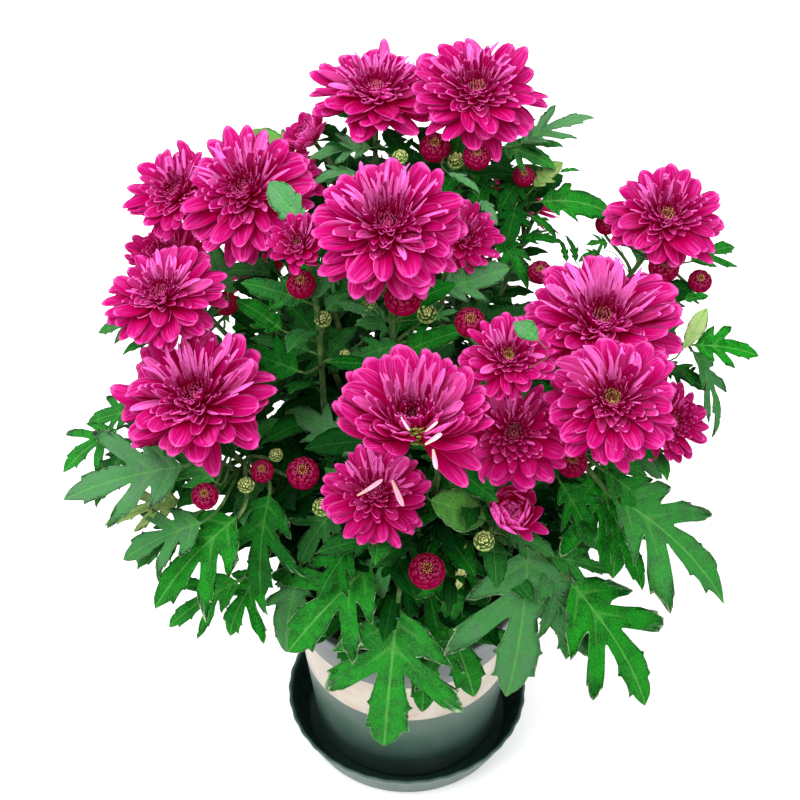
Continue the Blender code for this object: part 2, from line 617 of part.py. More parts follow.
def leafy_parts(placed, families):
    """The separate shapes of every cutting, gathered by the cutting that bears them."""
    parts = [[] for _ in families]
    cups = {tuple(foot - axis * GAP): across * CUP_R for _, foot, axis, across, *_ in placed}
    for number, family in enumerate(families):
        main, *shoots = family
        radii = np.linspace(MAIN_R, MAIN_R * MAIN_TAPER, len(main))
        parts[number].append(tube("main", main, radii, MAIN_SIDES))
        for path in shoots:
            radii = np.linspace(SHOOT_R, SHOOT_TIP_R, len(path))
            radii[-1] = cups.get(tuple(path[-1]), SHOOT_TIP_R)
            parts[number].append(tube("shoot", path, radii, SHOOT_SIDES))
    for _, foot, axis, across, _, is_bud in placed:
        if is_bud:
            number, joint = nearest_joint(families, foot - axis * STALK_REACH)
            parts[number].append(stalk(joint, foot - axis * GAP, axis, across * BUD_CUP_R))
    for pixel_x, pixel_y, height, across in GREEN_BUDS:
        middle = sight(pixel_x, pixel_y, height)
        axis = faced_axis(*BUD_FACING)
        number, joint = nearest_joint(families, middle - axis * GREEN_REACH)
        parts[number].append(stalk(joint, middle, axis, STALK_R))
        green = bmesh.new()
        bmesh.ops.create_uvsphere(green, u_segments=GREEN_SIDES, v_segments=GREEN_BANDS, radius=across / 2)
        set_on(green, middle, axis)
        parts[number].append(green)
    blades = [(sight(*row[0:3]), sight(*row[3:6]), row[6]) for row in LEAVES]
    blades += [(foot, tip, 1.0) for foot, tip in tier_leaves()]
    for foot, tip, width in blades:
        number, joint = nearest_joint(families, foot - (0.0, 0.0, PETIOLE_DROP))
        parts[number].append(leaf(joint, foot, tip, width))
    return parts


def joined(name, shapes, material):
    """Closed shapes that grow into each other, joined by one union on their collection."""
    body = finish(name, shapes[0], material)
    gathered = bpy.data.collections.new(name)
    bpy.context.scene.collection.children.link(gathered)
    for number, shape in enumerate(shapes[1:]):
        extra = finish(f"{name}_{number}", shape, material)
        bpy.context.scene.collection.objects.unlink(extra)
        gathered.objects.link(extra)
    union = body.modifiers.new("union", "BOOLEAN")
    union.operation = "UNION"
    union.solver = "MANIFOLD"
    union.operand_type = "COLLECTION"
    union.collection = gathered
    bpy.context.view_layer.update()
    whole = bpy.data.meshes.new_from_object(body.evaluated_get(bpy.context.evaluated_depsgraph_get()))
    body.modifiers.remove(union)
    body.data = whole
    for extra in list(gathered.objects):
        bpy.data.meshes.remove(extra.data)
    bpy.data.collections.remove(gathered)
    return body


for leftover in list(bpy.data.objects):
    bpy.data.objects.remove(leftover)
saucer()
pot()
soil()
all_heads = heads()
all_paths = shoot_paths(all_heads)
for stem_number, stem_shapes in enumerate(leafy_parts(all_heads, all_paths)):
    stem_name = f"leafy_stem_{stem_number + 1}"
    joined(stem_name, stem_shapes, coloured(stem_name, *FOLIAGE_LOOK))
for head_name, head_foot, head_axis, head_across, head_opening, head_is_bud in all_heads:
    head_shape = bud_mesh(head_across) if head_is_bud else bloom_mesh(head_across, head_opening)
    set_on(head_shape, head_foot, head_axis)
    finish(head_name, head_shape, coloured(head_name, *PETAL_LOOK))
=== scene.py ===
"""The looks of a chrysanthemum in full flower in its pot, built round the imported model.

Metres, +Z up, origin under the middle of the saucer, with the front of the plant towards -Y.
"""
import math

import bpy
import numpy as np
from mathutils import Matrix


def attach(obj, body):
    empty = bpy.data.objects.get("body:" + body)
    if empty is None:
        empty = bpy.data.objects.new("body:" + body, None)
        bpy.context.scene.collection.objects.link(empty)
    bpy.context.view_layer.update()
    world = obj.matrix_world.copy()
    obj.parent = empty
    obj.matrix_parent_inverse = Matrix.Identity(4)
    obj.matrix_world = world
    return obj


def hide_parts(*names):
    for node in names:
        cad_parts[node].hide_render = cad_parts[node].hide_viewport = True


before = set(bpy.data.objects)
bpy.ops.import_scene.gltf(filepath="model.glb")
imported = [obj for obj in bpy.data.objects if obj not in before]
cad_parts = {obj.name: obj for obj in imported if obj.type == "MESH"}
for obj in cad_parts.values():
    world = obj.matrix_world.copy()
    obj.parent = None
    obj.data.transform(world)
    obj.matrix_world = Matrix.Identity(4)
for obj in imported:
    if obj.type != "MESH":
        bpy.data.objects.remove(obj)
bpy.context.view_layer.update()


# Saucer
# A shallow dish of dark green moulded plastic. Shallow flutes pressed into the flared wall stiffen it, and
# its lip is rolled over. It stands loose under the pot.
SAUCER_SIDES = 216
SAUCER_FLUTES = 36
SAUCER_FLUTE = 0.0003
# Radius, height and share of the flute, from the middle of the underside round the lip to the middle inside
SAUCER_PROFILE = (
    (0.0600, 0.0006, 0.0), (0.0648, 0.0000, 0.0), (0.0662, 0.0008, 0.1), (0.0694, 0.0080, 0.6),
    (0.0727, 0.0160, 0.9), (0.0750, 0.0222, 1.0), (0.0764, 0.0236, 1.0), (0.0765, 0.0243, 1.0),
    (0.0757, 0.0247, 1.0), (0.0745, 0.0243, 1.0), (0.0733, 0.0226, 1.0), (0.0702, 0.0150, 0.9),
    (0.0672, 0.0076, 0.6), (0.0648, 0.0034, 0.1), (0.0630, 0.0024, 0.0), (0.0540, 0.0022, 0.0),
)


def skin(rings, first, last, place, tone, finish=0):
    """Closed bodies made of rings of points, with the two ends drawn together to a point.

    rings has the shape (bodies, rows, around, 3), and first and last (bodies, 3). place and tone are three
    numbers for each point of the rings, for the materials; an end takes those of its nearest ring.
    """
    bodies, rows, around, _ = rings.shape
    points = np.concatenate((rings.reshape(bodies, -1, 3), first[:, None], last[:, None]), axis=1)
    carried = []
    for fact in (place, tone):
        fact = np.broadcast_to(fact, rings.shape)
        ends = (fact[:, 0].mean(axis=1, keepdims=True), fact[:, -1].mean(axis=1, keepdims=True))
        carried.append(np.concatenate((fact.reshape(bodies, -1, 3), *ends), axis=1).reshape(-1, 3))
    row, turn = (index.ravel() for index in np.mgrid[0:rows - 1, 0:around])
    after = (turn + 1) % around
    quads = np.stack((row * around + turn, row * around + after,
                      (row + 1) * around + after, (row + 1) * around + turn), axis=1)
    turn = np.arange(around)
    after = (turn + 1) % around
    top = (rows - 1) * around
    caps = np.concatenate((np.stack((after, turn, np.full(around, rows * around)), axis=1),
                           np.stack((top + turn, top + after, np.full(around, rows * around + 1)), axis=1)))
    start = np.arange(bodies)[:, None, None] * (rows * around + 2)
    quads = (quads[None] + start).reshape(-1, 4)
    caps = (caps[None] + start).reshape(-1, 3)
    flat = points.reshape(-1, 3)
    cut = np.concatenate((quads[:, (0, 1, 2)], quads[:, (0, 2, 3)], caps))
    a, b, c = (flat[cut[:, i]] - flat.mean(axis=0) for i in range(3))
    if np.einsum("ij,ij->", a, np.cross(b, c)) < 0.0:
        quads = quads[:, ::-1]
        caps = caps[:, ::-1]
    return {"points": flat, "quads": quads, "caps": caps, "place": carried[0], "tone": carried[1],
            "finish": finish}


def piece(name, skins, finishes, slot, *nodes):
    """One visible piece from its skins: the faces of each take one of the finishes."""
    mesh = bpy.data.meshes.new(name)
    starts = np.cumsum([0] + [len(part["points"]) for part in skins])
    faces = [(part[kind] + start, part["finish"]) for part, start in zip(skins, starts)
             for kind in ("quads", "caps")]
    corners = np.concatenate([face.ravel() for face, _ in faces])
    sizes = np.concatenate([np.full(len(face), face.shape[1]) for face, _ in faces])
    mesh.vertices.add(starts[-1])
    mesh.vertices.foreach_set("co", np.concatenate([part["points"] for part in skins]).ravel())
    mesh.loops.add(len(corners))
    mesh.loops.foreach_set("vertex_index", corners.astype(np.int32))
    mesh.polygons.add(len(sizes))
    mesh.polygons.foreach_set("loop_start", (np.cumsum(sizes) - sizes).astype(np.int32))
    finish_index = np.concatenate([np.full(len(face), finish) for face, finish in faces])
    mesh.polygons.foreach_set("material_index", finish_index.astype(np.int32))
    for fact in ("place", "tone"):
        layer = mesh.attributes.new(fact, "FLOAT_VECTOR", "POINT")
        layer.data.foreach_set("vector", np.concatenate([part[fact] for part in skins]).ravel())
    mesh.update(calc_edges=True)
    mesh.validate()
    mesh.shade_smooth()
    for finish in finishes:
        mesh.materials.append(finish)
    made = bpy.data.objects.new(name, mesh)
    bpy.context.scene.collection.objects.link(made)
    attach(made, "root")
    if nodes:
        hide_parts(*nodes)


def turned(profile, sides, flute=0.0, flutes=0):
    """A profile carried round Z.

    At the angle t, a point (r, z, share) of it lies at the radius r + flute * share * cos(flutes * t).
    """
    radius, height, share = np.array(profile, float).T[:, :, None]
    angle = np.arange(sides)[None, :] * math.tau / sides
    reach = radius + flute * share * np.cos(flutes * angle)
    level = np.broadcast_to(height, reach.shape)
    rings = np.stack((reach * np.cos(angle), reach * np.sin(angle), level), axis=-1)
    first = np.array([[0.0, 0.0, profile[0][1]]])
    last = np.array([[0.0, 0.0, profile[-1][1]]])
    return skin(rings[None], first, last, np.zeros(3), np.zeros(3))


def node(tree, kind, sockets=(), **settings):
    """Adds a node. A socket that is given another node's output is linked to it, and else takes the value."""
    made = tree.nodes.new(kind)
    for key, value in settings.items():
        setattr(made, key, value)
    for key, value in dict(sockets).items():
        if isinstance(value, bpy.types.NodeSocket):
            tree.links.new(value, made.inputs[key])
        else:
            made.inputs[key].default_value = value
    return made


def number(tree, operation, a, b=0.0, c=0.0):
    """The output of a Math node."""
    return node(tree, "ShaderNodeMath", {0: a, 1: b, 2: c}, operation=operation).outputs[0]


def times(tree, a, b):
    """The product of two values."""
    return number(tree, "MULTIPLY", a, b)


def scaled(tree, value, factor, offset):
    """A value times a factor, plus an offset."""
    return number(tree, "MULTIPLY_ADD", value, factor, offset)


def between(tree, value, low, high):
    """A soft step of a value from 0 at low to 1 at high, of which high may be the smaller."""
    made = node(tree, "ShaderNodeMapRange", {0: value, 1: low, 2: high}, interpolation_type="SMOOTHSTEP")
    return made.outputs[0]


def blend(tree, share, a, b):
    """Two colours mixed by a share."""
    return node(tree, "ShaderNodeMix", {0: share, 6: a, 7: b}, data_type="RGBA").outputs[2]


def laid_over(tree, under, over, share, strength):
    """A colour laid over another by a share times a strength."""
    return blend(tree, times(tree, share, strength), under, over)


def finish_of(name, roughness, **constants):
    """A new material, its tree and its Principled shader, with the values that are the same all over."""
    material = bpy.data.materials.new(name)
    material.use_nodes = True
    shader = material.node_tree.nodes["Principled BSDF"]
    shader.inputs["Roughness"].default_value = roughness
    for key, value in constants.items():
        shader.inputs[key.replace("_", " ")].default_value = value
    return material, material.node_tree, shader


def effect(name, inputs, outputs):
    """A new shader node group with named sockets: its tree, what it is given, and what it hands out."""
    group = bpy.data.node_groups.new(name, "ShaderNodeTree")
    for sockets, way in ((inputs, "INPUT"), (outputs, "OUTPUT")):
        for label, kind in sockets.items():
            group.interface.new_socket(label, in_out=way, socket_type="NodeSocket" + kind)
    return group, group.nodes.new("NodeGroupInput").outputs, group.nodes.new("NodeGroupOutput").inputs


def placed(tree, group, **values):
    """A group placed in a material with its values set: the sockets that it hands out."""
    made = node(tree, "ShaderNodeGroup", node_tree=group)
    for key, value in values.items():
        made.inputs[key.replace("_", " ")].default_value = value
    return made.outputs


def facts(tree, name):
    """The three numbers of one of the mesh's attributes."""
    read = node(tree, "ShaderNodeAttribute", attribute_name=name).outputs["Vector"]
    return node(tree, "ShaderNodeSeparateXYZ", {0: read}).outputs


def grain_group():
    """Mottling at one size: a mask of large soft patches, a mask of fine specks, and their height."""
    group, given, handed = effect("grain", {"Patch Scale": "Float", "Speck Scale": "Float"},
                                  {"Patches": "Float", "Specks": "Float", "Height": "Float"})
    where = node(group, "ShaderNodeTexCoord").outputs["Object"]
    patches = node(group, "ShaderNodeTexNoise", {"Vector": where, "Scale": given[0], "Detail": 3.0})
    specks = node(group, "ShaderNodeTexNoise", {"Vector": where, "Scale": given[1], "Detail": 2.0})
    height = scaled(group, specks.outputs[0], 0.4, patches.outputs[0])
    for socket, value in zip(handed, (patches.outputs[0], specks.outputs[0], height)):
        group.links.new(value, socket)
    return group


GRAIN = grain_group()


def grain(tree, patch_scale, speck_scale):
    """The grain group placed in a material: its patches, specks and height."""
    return placed(tree, GRAIN, Patch_Scale=patch_scale, Speck_Scale=speck_scale)


def feed(tree, shader, **sockets):
    """Links outputs to the sockets of a shader."""
    for key, output in sockets.items():
        tree.links.new(output, shader.inputs[key.replace("_", " ")])


def bump(tree, shader, height, strength, distance):
    """Raises the surface by a height."""
    made = node(tree, "ShaderNodeBump", {"Height": height, "Strength": strength, "Distance": distance})
    feed(tree, shader, Normal=made.outputs[0])


SAUCER_GREEN = (0.042, 0.095, 0.078, 1.0)
SAUCER_WORN = (0.046, 0.092, 0.078, 1.0)
SAUCER_INSIDE_SHADE = (0.009, 0.029, 0.024, 1.0)
# The cone through the middle of the wall: its radius at the floor, and how much it widens with the height.
# What lies inside it is painted shade: the dish is darkened inside as if in shadow
SAUCER_CONE_FOOT = 0.0643
SAUCER_CONE_FLARE = 0.435
saucer_finish, tree, shader = finish_of("saucer_plastic", 0.42)
patches, _, height = grain(tree, 60.0, 1600.0)
where = node(tree, "ShaderNodeTexCoord").outputs["Object"]
x, y, z = node(tree, "ShaderNodeSeparateXYZ", {0: where}).outputs
off_axis = number(tree, "SQRT", scaled(tree, x, x, times(tree, y, y)))
cone = scaled(tree, z, SAUCER_CONE_FLARE, SAUCER_CONE_FOOT)
# Painted shade: the inside of the dish is darkened
inside = between(tree, number(tree, "SUBTRACT", cone, off_axis), -0.0006, 0.0010)
worn = blend(tree, between(tree, patches, 0.35, 0.75), SAUCER_GREEN, SAUCER_WORN)
feed(tree, shader, Base_Color=blend(tree, inside, worn, SAUCER_INSIDE_SHADE),
     Roughness=scaled(tree, patches, 0.25, 0.28))
bump(tree, shader, height, 0.12, 0.0004)
piece("saucer_dish", [turned(SAUCER_PROFILE, SAUCER_SIDES, SAUCER_FLUTE, SAUCER_FLUTES)],
      [saucer_finish], "saucer", "saucer")


# Pot
# A tapered pot of satin grey-green plastic with a rolled rim and a foot ring, banded with a printed cream
# sleeve between two moulded lines. It stands in the saucer.
POT_SIDES = 160
# How high the foot stands on the saucer
POT_LIFT = 0.0025
# Where the printed band begins and ends, and how soft its edges are
BAND_LOW = 0.0715
BAND_HIGH = 0.1060
BAND_SOFT = 0.0004
# Radius, and height above the foot
POT_PROFILE = (
    (0.0500, 0.0030), (0.0502, 0.0004), (0.0548, 0.0000), (0.0558, 0.0006), (0.0580, 0.0060),
    (0.0648, 0.0687), (0.0649, 0.0697), (0.0646, 0.0705), (0.0680, 0.1030), (0.0683, 0.1038),
    (0.0685, 0.1046), (0.0692, 0.1206), (0.0702, 0.1212), (0.0708, 0.1222), (0.0714, 0.1286),
    (0.0710, 0.1296), (0.0690, 0.1300), (0.0672, 0.1297), (0.0668, 0.1285), (0.0610, 0.0750),
    (0.0548, 0.0075), (0.0530, 0.0060),
)
POT_GREEN = (0.044, 0.096, 0.070, 1.0)
POT_FOOT_SHADE = (0.020, 0.052, 0.043, 1.0)
POT_GREY = (0.110, 0.125, 0.128, 1.0)
BAND_CREAM = (0.470, 0.400, 0.330, 1.0)
BAND_PALE = (0.560, 0.500, 0.430, 1.0)
BAND_ROSE = (0.520, 0.330, 0.270, 1.0)
pot_finish, tree, shader = finish_of("pot_plastic", 0.38)
patches, _, height = grain(tree, 45.0, 1400.0)
where = node(tree, "ShaderNodeTexCoord").outputs["Object"]
level = node(tree, "ShaderNodeSeparateXYZ", {0: where}).outputs[2]
# Painted shade and reflection: the body darkens towards its foot, where the dark saucer shades it
body = blend(tree, between(tree, level, 0.006, 0.055), POT_FOOT_SHADE, POT_GREEN)
body = laid_over(tree, body, POT_GREY, between(tree, patches, 0.4, 0.8), 0.35)
stains = node(tree, "ShaderNodeTexNoise", {"Vector": where, "Scale": 55.0, "Detail": 6.0, "Distortion": 1.2})
flecks = node(tree, "ShaderNodeTexVoronoi", {"Vector": where, "Scale": 420.0})
printed = blend(tree, between(tree, patches, 0.35, 0.7), BAND_CREAM, BAND_PALE)
printed = laid_over(tree, printed, BAND_ROSE, between(tree, stains.outputs[0], 0.54, 0.66), 0.55)
printed = laid_over(tree, printed, BAND_ROSE, between(tree, flecks.outputs[0], 0.22, 0.10), 0.45)
on_band = times(tree, between(tree, level, BAND_LOW - BAND_SOFT, BAND_LOW + BAND_SOFT),
                between(tree, level, BAND_HIGH + BAND_SOFT, BAND_HIGH - BAND_SOFT))
above = between(tree, level, BAND_HIGH - BAND_SOFT, BAND_HIGH + BAND_SOFT)
shell = blend(tree, above, body, POT_GREY)
feed(tree, shader, Base_Color=blend(tree, on_band, shell, printed),
     Roughness=scaled(tree, patches, 0.2, 0.28))
bump(tree, shader, height, 0.10, 0.0004)
lifted = [(radius, above_foot + POT_LIFT, 0.0) for radius, above_foot in POT_PROFILE]
piece("pot_shell", [turned(lifted, POT_SIDES)], [pot_finish], "pot", "pot")


# Potting soil
# Dark peat with bark crumbs, filled to a finger below the rim and a little heaped. The cuttings stand in it.
# Radius and height of its surface, from the wall's foot up and in to the middle
SOIL_RINGS = ((0.0545, 0.0088), (0.0640, 0.1080), (0.0655, 0.1166), (0.0600, 0.1174), (0.0500, 0.1182),
              (0.0400, 0.1190), (0.0300, 0.1194), (0.0200, 0.1196), (0.0100, 0.1196))
SOIL_SIDES = 72
# How far the surface rises and falls, and how much of that is left on the rings that lie against the wall
SOIL_ROUGH = (-0.0011, 0.0009)
SOIL_WALL_RINGS = 3
SOIL_WALL_ROUGH = 0.2
CRUMBS = 240
CRUMB_SIZE = (0.0009, 0.0032)
CRUMB_REACH = 0.060
CRUMB_LEVEL = 0.1192
CRUMB_SIDES = 6
CRUMB_ROWS = 3
draw = np.random.default_rng(41)
radius, height = np.array(SOIL_RINGS).T[:, :, None]
angle = np.arange(SOIL_SIDES)[None] * math.tau / SOIL_SIDES
rough = draw.uniform(*SOIL_ROUGH, (len(SOIL_RINGS), SOIL_SIDES))
rough[:SOIL_WALL_RINGS] *= SOIL_WALL_ROUGH
soil_rings = np.stack((radius * np.cos(angle), radius * np.sin(angle), height + rough), axis=-1)
soil_bed = skin(soil_rings[None], np.array([[0.0, 0.0, SOIL_RINGS[0][1]]]),
                np.array([[0.0, 0.0, SOIL_RINGS[-1][1]]]), np.zeros(3), np.zeros(3))


def crumbs(count, sizes, reach, level, source):
    """Lumps of bark and peat: stretched balls of a few sides and rings, strewn evenly over a disc."""
    size = source.uniform(*sizes, count)[:, None, None]
    lean = np.linspace(-1.0, 1.0, CRUMB_ROWS + 2)[None, 1:-1, None] * math.pi / 2
    turn = np.arange(CRUMB_SIDES)[None, None] * math.tau / CRUMB_SIDES
    bulge = source.uniform(0.7, 1.2, (count, CRUMB_ROWS, CRUMB_SIDES))
    ball = np.stack((np.cos(lean) * np.cos(turn) * bulge, np.cos(lean) * np.sin(turn) * bulge * 0.7,
                     np.sin(lean) * bulge * 0.6), axis=-1) * size[..., None]
    spin = source.uniform(0.0, math.tau, count)[:, None, None]
    x = ball[..., 0] * np.cos(spin) - ball[..., 1] * np.sin(spin)
    y = ball[..., 0] * np.sin(spin) + ball[..., 1] * np.cos(spin)
    away = reach * np.sqrt(source.uniform(0.0, 1.0, count))
    bearing = source.uniform(0.0, math.tau, count)
    middle = np.stack((away * np.cos(bearing), away * np.sin(bearing), np.full(count, level)), axis=1)
    rings = np.stack((x, y, ball[..., 2]), axis=-1) + middle[:, None, None]
    tip = np.zeros((count, 3))
    tip[:, 2] = size[:, 0, 0] * 0.6
    tone = np.broadcast_to(source.uniform(0.0, 1.0, (count, 1, 1, 3)), rings.shape)
    return skin(rings, middle - tip, middle + tip, np.zeros(3), tone)


SOIL_PEAT = (0.020, 0.012, 0.007, 1.0)
SOIL_BARK = (0.085, 0.045, 0.024, 1.0)
soil_finish, tree, shader = finish_of("peat_and_bark", 0.92)
patches, specks, height = grain(tree, 260.0, 1500.0)
lump = facts(tree, "tone")[0]
peat = laid_over(tree, SOIL_PEAT, SOIL_BARK, lump, between(tree, specks, 0.35, 0.7))
feed(tree, shader, Base_Color=blend(tree, between(tree, patches, 0.55, 0.75), peat, SOIL_BARK))
bump(tree, shader, height, 0.8, 0.0008)
soil_crumbs = crumbs(CRUMBS, CRUMB_SIZE, CRUMB_REACH, CRUMB_LEVEL, draw)
piece("potting_soil", [soil_bed, soil_crumbs], [soil_finish], "soil", "soil")


# The layout of the flower heads
# Each head is set where the reference view shows it: a pixel of its middle and that middle's height give the
# place. Most of them face the light that falls from above the eye.
VIEW_TARGET = np.array([-0.0045, 0.0, 0.274])
VIEW_DISTANCE = 1.00
VIEW_ELEVATION = math.radians(42)
VIEW_FOCAL_PIXELS = 1797.0
VIEW_CENTRE_PIXEL = 400.0
VIEW_FORWARD = np.array([0.0, math.cos(VIEW_ELEVATION), -math.sin(VIEW_ELEVATION)])
VIEW_UPWARD = np.array([0.0, math.sin(VIEW_ELEVATION), math.cos(VIEW_ELEVATION)])
VIEW_EYE = VIEW_TARGET - VIEW_FORWARD * VIEW_DISTANCE
# The point low in the plant that the heads on the far side face away from
FACING_FROM = np.array([0.0, 0.045, 0.17])
# How high a bloom's widest part and a bud's top lie over its foot, as a share of its distance across
SPREAD_HEIGHT = 0.13
BUD_HEIGHT = 1.05
# Pixel of the middle, its height, distance across, how far it has opened, how far it faces to the right and
# upwards of the eye, how yellow its eye is, and a seed
BLOOMS = {
    "bloom_top_left": (376, 82, 0.402, 0.075, 1.0, 0.0, 1.00, 0.1, 1),
    "bloom_top_right": (477, 83, 0.410, 0.074, 1.0, 0.05, 0.65, 0.3, 2),
    "bloom_crown": (388, 216, 0.398, 0.079, 1.0, 0.0, 0.60, 0.0, 3),
    "bloom_left_upper": (242, 184, 0.376, 0.075, 1.0, -0.30, 0.50, 0.0, 4),
    "bloom_left_inner": (284, 172, 0.352, 0.046, 0.9, 0.20, 0.60, 0.0, 25),
    "bloom_left_outer": (175, 187, 0.346, 0.059, 0.9, -0.35, 0.60, 0.0, 5),
    "bloom_left_middle": (160, 288, 0.342, 0.066, 1.0, -0.20, 0.70, 0.0, 6),
    "bloom_left_behind": (166, 252, 0.308, 0.052, 0.7, -0.30, 0.80, 0.0, 7),
    "bloom_left_lower": (193, 390, 0.310, 0.083, 1.0, -0.15, 0.65, 0.0, 8),
    "bloom_centre": (413, 412, 0.345, 0.079, 0.72, 0.0, 0.85, 0.1, 9),
    "bloom_centre_right": (515, 430, 0.312, 0.060, 1.0, 0.10, 0.25, 0.2, 10),
    "bloom_small_centre": (509, 353, 0.350, 0.048, 0.9, 0.05, 0.50, 1.0, 11),
    "bloom_front": (375, 489, 0.280, 0.057, 1.0, -0.05, 0.65, 0.0, 12),
    "bloom_right_upper": (603, 313, 0.332, 0.086, 1.0, 0.0, 0.65, 0.3, 13),
    "bloom_right_lower": (613, 395, 0.330, 0.069, 1.0, 0.0, 0.40, 0.9, 14),
    "bloom_right_outer": (668, 211, 0.348, 0.066, 1.0, 0.10, 0.55, 0.7, 15),
    "bloom_right_edge": (675, 420, 0.270, 0.046, 0.8, 0.50, 0.30, 0.8, 16),
    "bloom_crown_right": (465, 234, 0.356, 0.042, 0.8, 0.35, 0.35, 0.0, 17),
    "bloom_crown_left": (298, 241, 0.382, 0.036, 0.7, -0.20, 0.40, 1.0, 18),
    "bloom_top_side": (307, 134, 0.364, 0.036, 0.45, -1.20, 1.20, 0.0, 19),
    "bloom_front_cup": (511, 511, 0.262, 0.042, 0.08, 0.10, 0.35, 0.0, 20),
}
# The heads on the far side: their place in metres, distance across, how far open, how yellow, and a seed
FAR_BLOOMS = {
    "bloom_back_middle": (-0.018, 0.158, 0.318, 0.070, 1.0, 0.2, 21),
    "bloom_back_left": (-0.086, 0.129, 0.278, 0.066, 1.0, 0.0, 22),
    "bloom_back_right": (0.064, 0.150, 0.310, 0.066, 1.0, 0.1, 23),
    "bloom_back_side": (0.121, 0.093, 0.263, 0.060, 1.0, 0.4, 24),
}
# How far the buds face to the right and upwards of the eye
BUD_FACING = (0.0, 0.40)
# Pixel of the middle, its height, distance across, and a seed
BUDS = {
    "bud_front": (427, 571, 0.232, 0.0190, 31),
    "bud_under_crown": (403, 297, 0.359, 0.0190, 32),
    "bud_top_left": (435, 147, 0.375, 0.0165, 33),
    "bud_top_right": (477, 156, 0.380, 0.0150, 34),
    "bud_top_outer": (524, 176, 0.352, 0.0120, 35),
    "bud_left_inner": (301, 284, 0.350, 0.0150, 36),
    "bud_left_low": (205, 496, 0.262, 0.0140, 37),
    "bud_left_under": (262, 471, 0.268, 0.0120, 38),
    "bud_front_left": (303, 473, 0.268, 0.0170, 39),
    "bud_centre": (470, 322, 0.345, 0.0155, 40),
    "bud_right_low": (572, 462, 0.276, 0.0160, 41),
    "bud_right_outer": (700, 281, 0.312, 0.0130, 42),
    "bud_right_neck": (606, 224, 0.322, 0.0120, 43),
    "bud_right_behind": (664, 267, 0.322, 0.0170, 44),
    "bud_shade": (540, 272, 0.322, 0.0130, 45),
    "bud_left_shade": (226, 303, 0.312, 0.0130, 46),
    "bud_left_edge": (150, 434, 0.278, 0.0130, 47),
}


def unit(vectors):
    """The vectors at a length of one."""
    vectors = np.asarray(vectors, float)
    return vectors / np.linalg.norm(vectors, axis=-1, keepdims=True)


def ray_at(pixel_x, pixel_y):
    """The way from the reference view's eye through a pixel."""
    ray = VIEW_FORWARD * VIEW_FOCAL_PIXELS + VIEW_UPWARD * (VIEW_CENTRE_PIXEL - pixel_y)
    ray[0] += pixel_x - VIEW_CENTRE_PIXEL
    return ray


def sight(pixel_x, pixel_y, height):
    """The point that the reference view shows at a pixel: the eye plus the ray, cut at a height."""
    ray = ray_at(pixel_x, pixel_y)
    return VIEW_EYE + ray * (height - VIEW_EYE[2]) / ray[2]


def frame_about(axis):
    """Three unit vectors as rows, of which the last is the axis."""
    side = unit(np.cross((0.0, 0.0, 1.0) if abs(axis[2]) < 0.99 else (0.0, 1.0, 0.0), axis))
    return np.array([side, np.cross(axis, side), axis])


def outward_axis(middle):
    """The way from low in the plant to a place in its crown."""
    return unit(middle - FACING_FROM)


def faced_axis(right, upward):
    """The way to the reference view's eye, turned to the right and upwards by shares of its length."""
    return unit(upward * VIEW_UPWARD - VIEW_FORWARD + (right, 0.0, 0.0))


# Each head's foot, the way that it faces, its distance across, and what is its own
heads = {}
for name, (pixel_x, pixel_y, height, across, opening, right, upward, yellow, seed) in BLOOMS.items():
    axis = faced_axis(right, upward)
    foot = sight(pixel_x, pixel_y, height) - axis * SPREAD_HEIGHT * across
    heads[name] = (foot, axis, across, opening, yellow, seed)
for name, (x, y, height, across, opening, yellow, seed) in FAR_BLOOMS.items():
    axis = outward_axis(np.array([x, y, height]))
    foot = np.array([x, y, height]) - axis * SPREAD_HEIGHT * across
    heads[name] = (foot, axis, across, opening, yellow, seed)
bud_heads = {}
for name, (pixel_x, pixel_y, height, across, seed) in BUDS.items():
    axis = faced_axis(*BUD_FACING)
    bud_heads[name] = (sight(pixel_x, pixel_y, height) - axis * BUD_HEIGHT / 2 * across, axis, across, seed)


# Blooms
# Double flower heads of strap-shaped petals on a small domed base: broad flat ones at the rim, narrow hollow
# ones that stand up and curl in towards the middle, and an eye of tiny tubes. All grow from one base.
# The petals of a bloom of full size, and the power of its size by which smaller ones have fewer
PETALS = 200
FULL_SIZE = 0.085
FEWER_PETALS = 0.75
GOLDEN_ANGLE = math.radians(137.5077)
# How petals change from the rim (0) to the eye (1): tilt and curl in degrees, length and width as shares of
# the bloom's radius, and how hollow they are
PETAL_SHARE = (0.00, 0.11, 0.21, 0.26, 0.34, 0.48, 0.64, 0.80, 1.00)
PETAL_TILT = (-12.0, -2.0, 8.0, 15.0, 24.0, 35.0, 48.0, 62.0, 80.0)
PETAL_CURL = (4.0, 8.0, 10.0, 10.0, 12.0, 16.0, 22.0, 28.0, 24.0)
PETAL_LENGTH = (0.88, 0.87, 0.81, 0.66, 0.60, 0.53, 0.44, 0.32, 0.18)
PETAL_WIDTH = (0.34, 0.34, 0.31, 0.180, 0.135, 0.115, 0.095, 0.065, 0.042)
PETAL_HOLLOW = (0.12, 0.15, 0.22, 0.50, 0.80, 0.95, 1.0, 1.0, 0.9)
PETAL_STATIONS = np.array([0.02, 0.20, 0.40, 0.58, 0.74, 0.87, 0.96])
NARROW_STATIONS = np.array([0.02, 0.30, 0.55, 0.75, 0.88, 0.96])
PETAL_AROUND = 8
NARROW_AROUND = 6
# From this share on, petals are narrow
NARROW_FROM = 0.23
PETAL_THICKNESS = 0.0004
# How much petals differ: azimuth in radians, tilt and curl in degrees, length and width as shares, and twist
# and sway in degrees
AZIMUTH_SPREAD = 0.07
TILT_SPREAD = 4.5
CURL_SPREAD = 7.0
LENGTH_SPREAD = 0.07
WIDTH_SPREAD = 0.15
TWIST_SPREAD = 16.0
SWAY_SPREAD = 7.0
# A bloom that isn't fully open tilts and curls its petals inwards by these degrees
CLOSING_TILT = 28.0
CLOSING_CURL = 90.0
# How much wider its petals are, by how far it has opened
CLOSING_WIDTH = ((0.35, 0.60, 1.00), (1.70, 1.00, 1.00))
